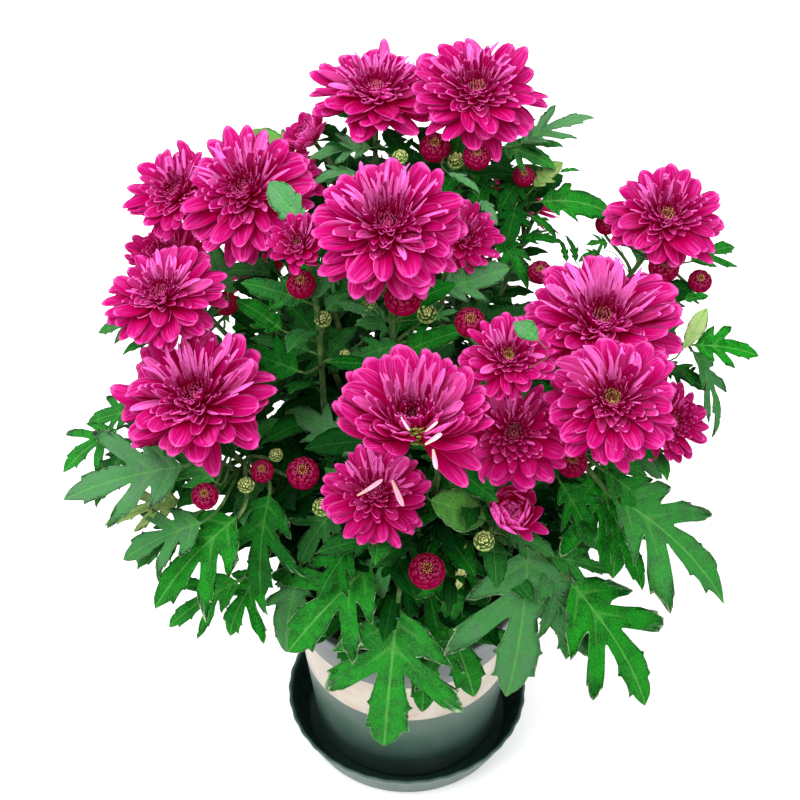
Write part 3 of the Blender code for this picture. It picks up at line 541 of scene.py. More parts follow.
# Narrow petals on the near side lean out, curl up and are shorter, so that the eye shows
NEAR_TILT = 18.0
NEAR_CURL = 28.0
NEAR_SHORT = (0.28, 0.22)
NEAR_WIDE = 0.35
# Pale petals among the narrow ones: their share at the sides and how much it grows to the far side, how
# narrow they are, and how much higher they stand, in degrees. The growth to the far side is painted sheen,
# where light falls on the far half of a bloom
PALE_SHARE = (0.36, 0.38)
PALE_WIDTH = 0.38
PALE_RISE = 5.0
# The eye: its radius as a share of the bloom's, and its florets, of which small blooms have two thirds
DISC_R = 0.16
FLORETS = 64
SMALL_BLOOM = 0.045
FLORET_STATIONS = np.array([0.05, 0.5, 0.9])
# The domed base that the petals grow from, in shares of the bloom's radius
BASE_PROFILE = ((0.06, -0.05, 0), (0.17, -0.03, 0), (0.20, 0.03, 0), (0.16, 0.10, 0))
BASE_SIDES = 20
# Which of a bloom's finishes its eye and its scales take
EYE_FINISH = 1
SCALE_FINISH = 2


def petals(azimuth, root, rise, tilt, curl, length, width, hollow, twist, tone, claw=0.32, blunt=2.2,
           widest=0.7, stations=PETAL_STATIONS, around=PETAL_AROUND, sway=0.0, point=0.5, finish=0):
    """Petals in the frame of their flower head, which looks along +Z.

    A midline starts at the radius root and the height rise, and its slope grows evenly from tilt by curl, so
    that its shares s lie at length / curl * (sin(slope) - sin(tilt)) outwards, and so on upwards. The width
    grows from the claw as a quarter sine up to s = widest and closes as (1 - t ^ blunt) ^ point. A section
    is a flat ring whose edges are raised by hollow * half width * (share across) squared, turned by
    twist * s. The petal bends sideways by sway * s squared.
    """
    count = len(azimuth)

    def column(values):
        return np.broadcast_to(values, count)[:, None]

    s = stations[None]
    tilt, curl = np.radians(column(tilt)), np.radians(column(curl))
    curl = np.where(np.abs(curl) < 1e-3, 1e-3, curl)
    length, half = column(length), column(width) / 2

    def midline(share):
        slope = tilt + curl * share
        outward = column(root) + length / curl * (np.sin(slope) - np.sin(tilt))
        upward = column(rise) + length / curl * (np.cos(tilt) - np.cos(slope))
        return outward, upward, slope

    outward, upward, slope = midline(s)
    grown = claw + (1.0 - claw) * np.sin(math.pi / 2 * np.clip(s / widest, 0.0, 1.0))
    closing = (1.0 - np.clip((s - widest) / (1.0 - widest), 0.0, 1.0) ** column(blunt)) ** point
    half_here = half * grown * closing
    turn = np.arange(around) * math.tau / around
    across, face = np.cos(turn), np.sin(turn)
    sideways = half_here[..., None] * across
    lift = (column(hollow)[..., None] * half_here[..., None] * across ** 2
            + PETAL_THICKNESS / 2 * face * closing[..., None])
    spin = np.radians(column(twist)) * s
    sideways, lift = (sideways * np.cos(spin)[..., None] - lift * np.sin(spin)[..., None],
                      sideways * np.sin(spin)[..., None] + lift * np.cos(spin)[..., None])
    out = outward[..., None] - lift * np.sin(slope)[..., None]
    up = upward[..., None] + lift * np.cos(slope)[..., None]
    bearing = np.broadcast_to(azimuth, count)[:, None] + np.radians(column(sway)) * s ** 2
    cos_a, sin_a = np.cos(bearing)[..., None], np.sin(bearing)[..., None]
    rings = np.stack((out * cos_a - sideways * sin_a, out * sin_a + sideways * cos_a, up), axis=-1)
    ends = []
    for share in (0.0, 1.0):
        out, up, _ = midline(np.array([[share]]))
        bearing = azimuth + np.radians(column(sway))[:, 0] * share
        ends.append(np.stack((out[:, 0] * np.cos(bearing), out[:, 0] * np.sin(bearing), up[:, 0]), axis=-1))
    place = np.stack(np.broadcast_arrays(across, s[..., None] + 0.0 * half_here[..., None], face), axis=-1)
    tone = np.broadcast_to(np.asarray(tone, float).T[:, None, None], rings.shape)
    return skin(rings, ends[0], ends[1], place, tone, finish)


def set_on(part, foot, axes):
    """Carries a part from the frame of its flower head to its foot."""
    part["points"] = part["points"] @ axes + foot
    return part


# Raised (+) or drooping (-) petals on the side towards the eye, in degrees
FRONT_LIFT = {"bloom_right_upper": 24.0, "bloom_left_lower": 16.0, "bloom_crown": -8.0, "bloom_centre": 10.0,
              "bloom_right_outer": 6.0, "bloom_left_upper": -10.0}
# Long single petals at the rim: azimuth in degrees (0 right, 90 away from the eye), tilt, and share of the
# radius
LONG_PETALS = {
    "bloom_left_lower": ((-52, -26, 1.02), (-160, -14, 1.0), (-12, -10, 1.0), (150, 12, 1.12),
                         (159, 5, 1.10), (168, -4, 1.04)),
    "bloom_crown": ((-104, -30, 1.02), (-62, -26, 1.06), (-140, -24, 1.02), (-30, -20, 1.04),
                    (172, -10, 1.04)),
    "bloom_centre": ((-50, -20, 1.05), (-35, -14, 1.02)),
    "bloom_front": ((-84, -16, 0.90), (-25, -14, 1.0)),
    "bloom_left_upper": ((-85, -40, 1.15), (-60, -36, 1.05), (-110, -38, 0.95), (138, 14, 1.12),
                         (122, 12, 1.06), (108, 6, 1.0)),
    "bloom_right_upper": ((22, -4, 1.02), (38, 0, 1.0)),
    "bloom_right_lower": ((-70, -18, 0.92), (-105, -16, 0.90)),
    "bloom_front_cup": ((-38, 4, 1.10), (-62, 0, 0.85)),
    "bloom_top_right": ((-80, -28, 1.10),),
}
# Curl of the long petals in degrees, and their root, length and width as shares of the radius
LONG_CURL = 8.0
LONG_ROOT = 0.18
LONG_LENGTH = 0.86
LONG_WIDTH = 0.31
# Where petals have fallen out and bare the scales of the base: azimuth and half width of the gap in degrees
FALLEN = {"bloom_centre": (-84.0, 17.0)}
SCALES = 34
# How far the narrow petals of some blooms reach, as a share of the usual
NARROW_REACH = {"bloom_crown": 1.12, "bloom_right_upper": 1.15, "bloom_left_lower": 1.12,
                "bloom_centre": 1.10, "bloom_left_upper": 1.06, "bloom_left_middle": 0.90,
                "bloom_right_lower": 1.05}
# How many more of the narrow petals of some blooms are pale strokes, as a share of them all
MORE_PALE = {"bloom_centre": 0.16, "bloom_right_upper": 0.18, "bloom_left_lower": 0.10, "bloom_crown": 0.08}


def bloom(across, opening, yellow, seed, lift, long_petals, fallen, reach, more_pale):
    """All petals and florets of a bloom, turned by the golden angle from the rim inwards."""
    source = np.random.default_rng(seed)
    radius = across / 2
    count = round(PETALS * (across / FULL_SIZE) ** FEWER_PETALS)
    share = (np.arange(count) + source.uniform(0.0, 1.0, count)) / count

    def follow(values):
        return np.interp(share, PETAL_SHARE, values)

    azimuth = np.arange(count) * GOLDEN_ANGLE + source.normal(0.0, AZIMUTH_SPREAD, count) + seed
    near = np.clip(-np.sin(azimuth), 0.0, 1.0)
    narrow = np.clip((share - NARROW_FROM + 0.02) / 0.07, 0.0, 1.0)
    closing = 1.0 - opening
    tilt = follow(PETAL_TILT) + source.normal(0.0, TILT_SPREAD, count) + CLOSING_TILT * closing
    tilt = tilt + lift * near * (1.0 - 0.7 * share) - NEAR_TILT * near * narrow
    curl = follow(PETAL_CURL) + source.normal(0.0, CURL_SPREAD, count) + CLOSING_CURL * closing
    curl = curl + NEAR_CURL * near * narrow
    short = near * (NEAR_SHORT[0] * narrow + NEAR_SHORT[1] * np.clip((share - 0.5) / 0.2, 0.0, 1.0))
    length = radius * follow(PETAL_LENGTH) * source.normal(1.0, LENGTH_SPREAD, count) * (1.0 - short)
    length = length * (1.0 + (reach - 1.0) * narrow)
    width = radius * follow(PETAL_WIDTH) * source.normal(1.0, WIDTH_SPREAD, count)
    width = width * np.interp(opening, *CLOSING_WIDTH)
    hollow = follow(PETAL_HOLLOW) * source.uniform(0.8, 1.2, count)
    root = radius * (0.17 - 0.03 * share)
    rise = radius * (0.02 + 0.13 * share)
    chance = source.uniform(0.0, 1.0, count)
    twist = source.normal(0.0, TWIST_SPREAD, count)
    blunt = source.uniform(1.6, 3.0, count)
    sway = source.normal(0.0, SWAY_SPREAD, count)
    # The far side gets more pale strokes: painted sheen where light falls on it
    pale = source.uniform(0.0, 1.0, count) < PALE_SHARE[0] + PALE_SHARE[1] * np.sin(azimuth) + more_pale
    sheen = np.clip(pale + source.normal(0.0, 0.12, count), 0.0, 1.0)
    tilt = tilt + PALE_RISE * narrow * np.where(pale, 1.0, -1.0)
    width = width * (1.0 + narrow * np.where(pale, PALE_WIDTH - 1.0, NEAR_WIDE * near))
    stay = np.ones(count, bool)
    if fallen:
        away = np.abs((np.degrees(azimuth) - fallen[0] + 180.0) % 360.0 - 180.0)
        stay = away > fallen[1] * np.interp(share, (0.0, 0.7, 0.85), (1.0, 1.4, 0.0))
    grown = np.array((azimuth, root, rise, tilt, curl, length, width, hollow, twist,
                      chance, share, sheen, blunt, sway))[:, stay]
    if long_petals:
        angle, droop, far = np.array(long_petals, float).T
        extra = np.broadcast_arrays(np.radians(angle), radius * LONG_ROOT, 0.0, droop, LONG_CURL,
                                    radius * far * LONG_LENGTH, radius * LONG_WIDTH, 0.20, 0.0,
                                    0.5, 0.0, 0.5, 1.5, 0.0)
        grown = np.concatenate((grown, np.array(extra)), axis=1)
    broad = grown[10] < NARROW_FROM
    made = []
    for own, stations, around in ((grown[:, broad], PETAL_STATIONS, PETAL_AROUND),
                                  (grown[:, ~broad], NARROW_STATIONS, NARROW_AROUND)):
        made.append(petals(*own[:9], own[9:12], claw=0.40, blunt=own[12], widest=0.64, stations=stations,
                           around=around, sway=own[13], point=0.56))
    count = FLORETS if across > SMALL_BLOOM else FLORETS * 2 // 3
    share = (np.arange(count) + 0.5) / count
    tone = (source.uniform(0.0, 1.0, count), share, np.full(count, yellow))
    made.append(petals(np.arange(count) * GOLDEN_ANGLE, root=radius * DISC_R * np.sqrt(share),
                       rise=radius * (0.05 + 0.03 * (1.0 - share)), tilt=84.0 - 14.0 * share,
                       curl=source.uniform(0.0, 40.0, count), length=radius * (0.12 + 0.08 * share),
                       width=radius * 0.042, hollow=0.4, twist=0.0, tone=tone, claw=0.7,
                       stations=FLORET_STATIONS, around=5, finish=EYE_FINISH))
    base = turned(np.array(BASE_PROFILE) * radius, BASE_SIDES)
    base["finish"] = EYE_FINISH
    base["tone"][:] = (0.2, 0.6, yellow)
    made.append(base)
    if fallen:
        scales = np.arange(SCALES)
        made.append(petals(np.radians(fallen[0] + source.uniform(-34.0, 34.0, SCALES)), root=radius * 0.17,
                           rise=radius * (-0.07 + 0.20 * scales / SCALES),
                           tilt=source.uniform(-10.0, 50.0, SCALES), curl=50.0,
                           length=radius * source.uniform(0.10, 0.17, SCALES), width=radius * 0.075,
                           hollow=0.4, twist=0.0,
                           tone=(scales / SCALES, scales / SCALES, source.uniform(0.0, 1.0, SCALES)),
                           claw=0.8, around=6, finish=SCALE_FINISH))
    return made


# The deep colour at the petals' feet: partly their own dark base, partly painted shade between petals
PETAL_DEEP_SHADE = (0.250, 0.000, 0.032, 1.0)
PETAL_MAGENTA = (0.275, 0.000, 0.070, 1.0)
PETAL_PINK = (0.680, 0.018, 0.310, 1.0)
PETAL_LILAC = (0.960, 0.200, 0.680, 1.0)


def velvet_group():
    """Petals deep at the foot and bright at the tip, with a paler back, a fine pale edge and grooves. The
    deep foot is partly the petals' own dark base and partly painted shade down in the flower head.
    """
    tree, given, handed = effect("petal_velvet", {"Deep": "Color", "Bright": "Color", "Back": "Color",
                                                  "Edge": "Color", "Stripes": "Float", "Rim": "Float"},
                                 {"Color": "Color", "Height": "Float"})
    deep, bright, back, edge, stripes, rim_share = list(given)[:6]
    across, along, face = facts(tree, "place")
    chance, share, sheen = facts(tree, "tone")
    streak_at = node(tree, "ShaderNodeCombineXYZ", {0: times(tree, across, 5.0), 1: times(tree, along, 1.1),
                                                    2: times(tree, chance, 40.0)}).outputs[0]
    streaks = node(tree, "ShaderNodeTexNoise", {"Vector": streak_at, "Scale": 1.6, "Detail": 2.0}).outputs[0]
    narrow = between(tree, share, 0.20, 0.27)
    # Painted shade, in part: each petal runs from the deep colour at its foot up to the bright one at its tip
    bright_here = number(tree, "ADD", between(tree, along, 0.05, 0.85), scaled(tree, streaks, 1.3, -0.72))
    inner = blend(tree, bright_here, deep, bright)
    # Broad petals fade more towards the tip than narrow ones, and have more pale flecks
    inner = laid_over(tree, inner, back, between(tree, along, 0.50, 1.0), scaled(tree, narrow, -0.15, 0.30))
    flecks = times(tree, between(tree, streaks, 0.50, 0.66), between(tree, along, 0.40, 1.0))
    inner = laid_over(tree, inner, edge, flecks, scaled(tree, narrow, -0.20, 0.24))
    striped = blend(tree, between(tree, streaks, 0.38, 0.62), back, edge)
    # Some of the narrow petals further in are pale from near the foot on. These pale strokes are partly
    # painted
    # sheen: more of them stand on the far side, where light falls
    pale = times(tree, times(tree, narrow, sheen), between(tree, along, 0.26, 0.52))
    pale_here = blend(tree, between(tree, streaks, 0.30, 0.52), back, edge)
    inner = laid_over(tree, inner, pale_here, pale, between(tree, share, 0.95, 0.60))
    outer = blend(tree, stripes, back, striped)
    outer = blend(tree, between(tree, share, 0.35, 0.60), outer, bright)
    # The backs darken to the deep colour at the foot too: partly painted shade
    outer = blend(tree, between(tree, along, 0.50, 0.12), outer, deep)
    faced = blend(tree, between(tree, face, 0.15, -0.25), inner, outer)
    # The rim is a fine pale line, strongest round the tips of the narrow petals. It is partly the petals' own
    # pale edge and partly painted highlight where curled edges catch the light
    tip = between(tree, along, 0.90, 0.98)
    side = between(tree, number(tree, "ABSOLUTE", across), 0.82, 0.99)
    side = times(tree, side, between(tree, along, 0.20, 0.70))
    side = times(tree, side, times(tree, chance, 0.40))
    tip = times(tree, tip, scaled(tree, narrow, 0.6, 0.4))
    ringed = laid_over(tree, faced, edge, number(tree, "MAXIMUM", tip, side), rim_share)
    tree.links.new(ringed, handed["Color"])
    grooves = number(tree, "SINE", times(tree, across, 11.0))
    tree.links.new(number(tree, "ADD", grooves, streaks), handed["Height"])
    return tree


VELVET = velvet_group()
# The light that comes through a petal from behind
GLOW_CRIMSON = (0.500, 0.000, 0.020, 1.0)
GLOW_STRENGTH = 0.12


def petal_finish(name, deep, bright, back, edge, stripes, rim):
    """A finish of petal velvet in four colours, with the strength of the back's stripes and the pale rim."""
    material, tree, shader = finish_of(name, 0.6, Specular_IOR_Level=0.0, Emission_Color=GLOW_CRIMSON,
                                       Emission_Strength=GLOW_STRENGTH)
    colour, height = placed(tree, VELVET, Deep=deep, Bright=bright, Back=back, Edge=edge,
                            Stripes=stripes, Rim=rim)
    feed(tree, shader, Base_Color=colour)
    bump(tree, shader, height, 0.5, 0.0004)
    return material


petal_look = petal_finish("petals_magenta", PETAL_DEEP_SHADE, PETAL_MAGENTA, PETAL_PINK, PETAL_LILAC, 0.8, 0.9)

EYE_CRIMSON = (0.170, 0.000, 0.030, 1.0)
EYE_ROSE = (0.660, 0.070, 0.230, 1.0)
EYE_TAN = (0.520, 0.230, 0.075, 1.0)
EYE_GOLD = (0.720, 0.470, 0.170, 1.0)
EYE_BROWN = (0.200, 0.085, 0.020, 1.0)
eye_look, tree, shader = finish_of("eye_florets", 0.6, Specular_IOR_Level=0.1)
along = facts(tree, "place")[1]
_, share, yellow = facts(tree, "tone")
red = blend(tree, between(tree, along, 0.45, 0.95), EYE_CRIMSON, EYE_ROSE)
gold = blend(tree, between(tree, along, 0.35, 0.95), EYE_TAN, EYE_GOLD)
gold = blend(tree, between(tree, share, 0.22, 0.08), gold, EYE_BROWN)
feed(tree, shader, Base_Color=laid_over(tree, red, gold, yellow, between(tree, share, 0.85, 0.35)))
bump(tree, shader, grain(tree, 500.0, 2500.0)[2], 0.4, 0.0003)

SCALE_GREEN = (0.130, 0.230, 0.030, 1.0)
SCALE_YELLOW = (0.640, 0.560, 0.140, 1.0)
scale_look, tree, shader = finish_of("bared_scales", 0.6, Specular_IOR_Level=0.1)
along = facts(tree, "place")[1]
chance = facts(tree, "tone")[2]
light = scaled(tree, between(tree, along, 0.2, 0.9), 0.6, times(tree, chance, 0.4))
feed(tree, shader, Base_Color=blend(tree, light, SCALE_GREEN, SCALE_YELLOW))
bump(tree, shader, grain(tree, 500.0, 2500.0)[2], 0.4, 0.0003)

for name, (foot, axis, across, opening, yellow, seed) in heads.items():
    own = bloom(across, opening, yellow, seed, lift=FRONT_LIFT.get(name, 0.0),
                long_petals=LONG_PETALS.get(name, ()), fallen=FALLEN.get(name),
                reach=NARROW_REACH.get(name, 1.0), more_pale=MORE_PALE.get(name, 0.0))
    parts = [set_on(part, foot, frame_about(axis)) for part in own]
    piece(name + "_petals", parts, [petal_look, eye_look, scale_look], "petals", name)


# Loose petals
# A few pale petals have dropped out of the middle blooms and lie across them, curled and almost white.
# Bloom that carries it, height over its foot as a share of its width, pixels of the two ends, width in metres
LOOSE_PETALS = (
    ("bloom_front", 0.36, 357, 496, 383, 479, 0.0024), ("bloom_front", 0.33, 392, 480, 404, 507, 0.0030),
    ("bloom_centre", 0.30, 401, 417, 410, 431, 0.0013), ("bloom_centre", 0.30, 425, 432, 438, 421, 0.0015),
    ("bloom_centre", 0.24, 425, 445, 442, 433, 0.0025), ("bloom_centre", 0.10, 433, 449, 437, 470, 0.0024),
)
PALE_FOOT = (0.800, 0.520, 0.450, 1.0)
PALE_PINK = (0.830, 0.310, 0.500, 1.0)
PALE_EDGE = (0.880, 0.540, 0.670, 1.0)
pale_look = petal_finish("petals_faded", PALE_FOOT, PALE_PINK, PALE_PINK, PALE_EDGE, 1.0, 0.7)


def seen_on(name, above, pixel_x, pixel_y):
    """The point seen at a pixel on the plane that lies across a bloom, above its foot."""
    foot, axis, across = heads[name][:3]
    ray = ray_at(pixel_x, pixel_y)
    return VIEW_EYE + ray * ((foot + axis * above * across - VIEW_EYE) @ axis) / (ray @ axis)


loose = []
for row, (name, above, from_x, from_y, to_x, to_y, wide) in enumerate(LOOSE_PETALS):
    axis = heads[name][1]
    start, end = seen_on(name, above, from_x, from_y), seen_on(name, above, to_x, to_y)
    along = unit(end - start)
    tone = (np.full(1, row / len(LOOSE_PETALS)), np.full(1, 0.3), np.ones(1))
    strip = petals(np.zeros(1), root=0.0, rise=0.0, tilt=-16.0, curl=32.0, length=np.linalg.norm(end - start),
                   width=wide, hollow=0.8, twist=20.0, tone=tone, claw=0.4)
    loose.append(set_on(strip, start, np.array([along, np.cross(axis, along), axis])))
piece("loose_petals", loose, [pale_look], "petals")


# Buds in colour
# Closed heads: blunt crimson petals curl in over a firm dark core, rank behind rank, round a small tan eye.
# They sit on thin stalks of their own.
# Ranks of petals from the outside: how many, the size of the ball that they hug as a share of the bud, where
# they end in degrees from the top, and their width as a share of the radius
BUD_RANKS = ((12, 1.00, 66.0, 0.66), (12, 0.96, 52.0, 0.60), (11, 0.92, 41.0, 0.52), (11, 0.87, 33.0, 0.44),
             (10, 0.81, 27.0, 0.36))
BUD_STATIONS = np.array([0.05, 0.32, 0.58, 0.78, 0.89, 0.97])
# The core in shares of the bud's radius
BUD_CORE = ((0.10, 0.14, 0), (0.40, 0.24, 0), (0.62, 0.45, 0), (0.74, 0.80, 0), (0.74, 1.10, 0),
            (0.60, 1.38, 0), (0.36, 1.54, 0), (0.12, 1.58, 0))
BUD_CORE_SIDES = 14
BUD_FLORETS = 34


def bud(across, seed):
    """The ranks of petals, the core and the eye of a closed head that looks along +Z."""
    source = np.random.default_rng(seed)
    radius = across / 2
    made = []
    for rank, (count, ball, end, width) in enumerate(BUD_RANKS):
        azimuth = np.arange(count) * math.tau / count + rank * 0.9 + source.normal(0.0, 0.06, count)
        tone = (source.uniform(0.0, 1.0, count), np.full(count, rank / len(BUD_RANKS)), np.zeros(count))
        curl = 180.0 - end + source.normal(0.0, 5.0, count)
        made.append(petals(azimuth, root=radius * 0.05, rise=radius * (1.0 - ball), tilt=0.0, curl=curl,
                           length=radius * ball * np.radians(curl), width=radius * width, hollow=0.30,
                           twist=0.0, tone=tone, claw=0.5, blunt=2.4, stations=BUD_STATIONS, around=6))
    core = turned(np.array(BUD_CORE) * radius, BUD_CORE_SIDES)
    core["tone"][:] = (0.2, 0.0, 0.0)
    made.append(core)
    share = (np.arange(BUD_FLORETS) + 0.5) / BUD_FLORETS
    tone = (source.uniform(0.0, 1.0, BUD_FLORETS), share, np.ones(BUD_FLORETS))
    made.append(petals(np.arange(BUD_FLORETS) * GOLDEN_ANGLE, root=radius * 0.40 * np.sqrt(share),
                       rise=radius * 1.52, tilt=86.0 - 18.0 * share,
                       curl=source.uniform(0.0, 30.0, BUD_FLORETS), length=radius * 0.26, width=radius * 0.13,
                       hollow=0.3, twist=0.0, tone=tone, claw=0.8, stations=FLORET_STATIONS, around=5,
                       finish=EYE_FINISH))
    return made


BUD_DARK = (0.070, 0.000, 0.010, 1.0)
BUD_CRIMSON = (0.150, 0.000, 0.022, 1.0)
BUD_MAGENTA = (0.170, 0.000, 0.030, 1.0)
# Pale pink on the rims and tips of bud petals: partly their own pale tips, partly painted highlight
BUD_PALE_TIP_AND_HIGHLIGHT = (0.800, 0.180, 0.400, 1.0)
bud_look = petal_finish("petals_of_buds", BUD_DARK, BUD_CRIMSON, BUD_MAGENTA, BUD_PALE_TIP_AND_HIGHLIGHT, 0.0, 0.22)
for name, (foot, axis, across, seed) in bud_heads.items():
    parts = [set_on(part, foot, frame_about(axis)) for part in bud(across, seed)]
    piece(name + "_petals", parts, [bud_look, eye_look], "bud_petals", name)


# Stems
# Five rooted cuttings. Each stem forks low down into ridged green shoots that divide the crown between them;
# a shoot ends behind each bloom, and thin stalks leave the shoots for the buds and leaves.
CUTTINGS = 5
CUTTING_RING_R = 0.0300
FIRST_CUTTING = math.radians(-90)
ROOT_Z = 0.1000
COLLAR_Z = 0.1171
# How far a main stem leans out, how high its first fork is over the collar, and how far apart the forks are
LEAN = 0.0060
FORK_RISE = 0.0260
FORK_STEP = 0.0050
CROWN_CENTRE_Y = 0.0315
# How a shoot leaves its stem and comes in behind its bloom, as shares of its length
SHOOT_OUT = 0.10
SHOOT_UP = 0.30
SHOOT_BEHIND = 0.35
SHOOT_POINTS = 16
STALK_POINTS = 9
# Radii from foot to end, and sides
MAIN_STEM_R = (0.0036, 0.0030)
SHOOT_R = (0.0021, 0.0014)
STALK_R = (0.0011, 0.0009)
MAIN_STEM_SIDES = 10
SHOOT_SIDES = 8
STALK_SIDES = 7
# The cup under a bloom: its height as a share of the bloom's width, its sides, the radius of its foot, and
# the others up to the lip as shares of the bloom's width
CUP_HEIGHT = 0.065
CUP_SIDES = 12
CUP_FOOT_R = 0.0014
CUP_RADII = (0.04, 0.085, 0.07)
# How far below a bud or a leaf its stalk looks for the nearest shoot
STALK_REACH = 0.020
GREEN_REACH = 0.015
PETIOLE_DROP = 0.010
# Stalks leave a shoot along this share of it, and not nearer to the collar than this
BEARING_SHARE = 0.87
BARE_RISE = 0.012
# How far the curve of a shoot is moved in front of its bloom's foot, to pass behind other blooms
BENDS = {"bloom_centre": (0.032, 0.038, 0.0), "bloom_top_right": (-0.012, 0.0, 0.0),
         "bloom_left_inner": (0.015, 0.0, 0.0)}
# Shoots that end in leaves: pixel and height of the end
BLIND_SHOOTS = ((682, 345, 0.292), (124, 440, 0.255), (540, 205, 0.318), (302, 228, 0.345))
# Which of a leafy stem's finishes its bracts and its leaves take
BRACT_FINISH = 1
LEAF_FINISH = 2
BRACT_STATIONS = np.array([0.05, 0.4, 0.7, 0.88])
LUMP_STATIONS = np.array([0.05, 0.3, 0.55, 0.75, 0.9])
# The bracts round a small green bud, and the lumps of unopened florets in it
GREEN_BRACTS = 11
GREEN_LUMPS = 26
GREEN_SEED = 60
# Small green buds: pixel, height, distance across
GREEN_BUDS = (
    (456, 161, 0.370, 0.0090), (400, 157, 0.376, 0.0083), (369, 309, 0.330, 0.0099),
    (427, 314, 0.332, 0.0103), (323, 319, 0.318, 0.0090), (246, 485, 0.262, 0.0085),
    (322, 507, 0.255, 0.0097), (484, 541, 0.250, 0.0106), (276, 455, 0.268, 0.0071),
    (448, 338, 0.318, 0.0064), (345, 355, 0.306, 0.0060),
)


def bezier(start, leave, arrive, end, count):
    """Points along the cubic curve of four control points, or along many curves at once."""
    start, leave, arrive, end = (np.asarray(point)[..., None, :] for point in (start, leave, arrive, end))
    t = np.linspace(0.0, 1.0, count)[:, None]
    return start * (1 - t) ** 3 + 3 * leave * t * (1 - t) ** 2 + 3 * arrive * t ** 2 * (1 - t) + end * t ** 3


def tubes(paths, radii, sides, finish=0):
    """Round stems along paths of one length: a ring about each point, of its radius, square to the path."""
    paths = np.asarray(paths)
    ahead = unit(np.gradient(paths, axis=1))
    chord = unit(paths[:, -1] - paths[:, 0])
    guide = np.where(np.abs(chord[:, :1]) < 0.8, (1.0, 0.0, 0.0), (0.0, 1.0, 0.0))[:, None]
    side = unit(np.cross(guide, ahead))
    other = np.cross(ahead, side)
    turn = (np.arange(sides) * math.tau / sides)[None, None, :, None]
    reach = np.broadcast_to(radii, paths.shape[:2])[..., None, None]
    rings = paths[:, :, None] + reach * (np.cos(turn) * side[:, :, None] + np.sin(turn) * other[:, :, None])
    along = np.linspace(0.0, 1.0, paths.shape[1])[None, :, None] + 0.0 * rings[..., 0]
    place = np.stack((along, np.broadcast_to(turn[..., 0], along.shape), along * 0.0), axis=-1)
    return skin(rings, paths[:, 0], paths[:, -1], place, np.full(3, 0.5), finish)


def towards(point):
    """The number of the cutting that stands towards a point of the crown."""
    angle = math.atan2(point[1] - CROWN_CENTRE_Y, point[0])
    return round((angle - FIRST_CUTTING) / math.tau * CUTTINGS) % CUTTINGS


# Every stem and shoot as (cutting, name of its bloom, points of its path); a main stem has no name
shoots = []
for cutting in range(CUTTINGS):
    angle = FIRST_CUTTING + math.tau * cutting / CUTTINGS
    outward = np.array([math.cos(angle), math.sin(angle), 0.0])
    collar = outward * CUTTING_RING_R + (0.0, 0.0, COLLAR_Z)
    borne = sorted(((foot[2], name) for name, (foot, *_) in heads.items() if towards(foot) == cutting))
    rise = outward * LEAN + (0.0, 0.0, FORK_RISE + FORK_STEP * len(borne))
    root = np.array([collar[0], collar[1], ROOT_Z])
    shoots.append((cutting, "", np.vstack((root, collar, collar + rise / 2, collar + rise))))
    for order, (_, name) in enumerate(borne):
        foot, axis, across = heads[name][:3]
        start = collar + rise * (FORK_RISE + FORK_STEP * order) / rise[2]
        end = foot - axis * CUP_HEIGHT * across
        length = np.linalg.norm(end - start)
        leave = start + outward * SHOOT_OUT * length + (0.0, 0.0, SHOOT_UP * length)
        arrive = end - axis * SHOOT_BEHIND * length + BENDS.get(name, (0.0, 0.0, 0.0))
        shoots.append((cutting, name, bezier(start, leave, arrive, end, SHOOT_POINTS)))
for pixel_x, pixel_y, height in BLIND_SHOOTS:
    end = sight(pixel_x, pixel_y, height)
    cutting = towards(end)
    start = shoots[[owner for owner, _, _ in shoots].index(cutting)][2][-1]
    length = np.linalg.norm(end - start)
    leave = start + (0.0, 0.0, SHOOT_UP * length)
    arrive = end - outward_axis(end) * SHOOT_UP * length
    shoots.append((cutting, "blind", bezier(start, leave, arrive, end, SHOOT_POINTS)))

bearing_paths = [(cutting, path[:round(BEARING_SHARE * len(path))]) for cutting, _, path in shoots]
joint_points = np.concatenate([path for _, path in bearing_paths])
joint_cuttings = np.concatenate([np.full(len(path), cutting) for cutting, path in bearing_paths])
above_soil = joint_points[:, 2] > COLLAR_Z + BARE_RISE
joint_points, joint_cuttings = joint_points[above_soil], joint_cuttings[above_soil]


def nearest_joint(point):
    """The cutting and the place on one of its shoots that lies nearest to a point."""
    nearest = np.argmin(np.linalg.norm(joint_points - point, axis=1))
    return joint_cuttings[nearest], joint_points[nearest]


def bracts(across, seed, count=22, spread=1.0):
    """The green cup under a head that looks along +Z: two ranks of pointed bracts that hug its base."""
    source = np.random.default_rng(seed)
    azimuth = np.arange(count) * GOLDEN_ANGLE
    tone = (source.uniform(0.0, 1.0, count), np.full(count, 0.5), np.full(count, 0.5))
    rank = (np.arange(count) % 2) * 1.0
    return petals(azimuth, root=across * 0.03, rise=-across * 0.075 + across * 0.01 * rank,
                  tilt=4.0 + 10.0 * rank, curl=source.normal(52.0, 6.0, count),
                  length=across * spread * (0.15 + 0.04 * rank), width=across * 0.055, hollow=0.3, twist=0.0,
                  tone=tone, claw=0.6, blunt=1.2, stations=BRACT_STATIONS, around=6, finish=BRACT_FINISH)


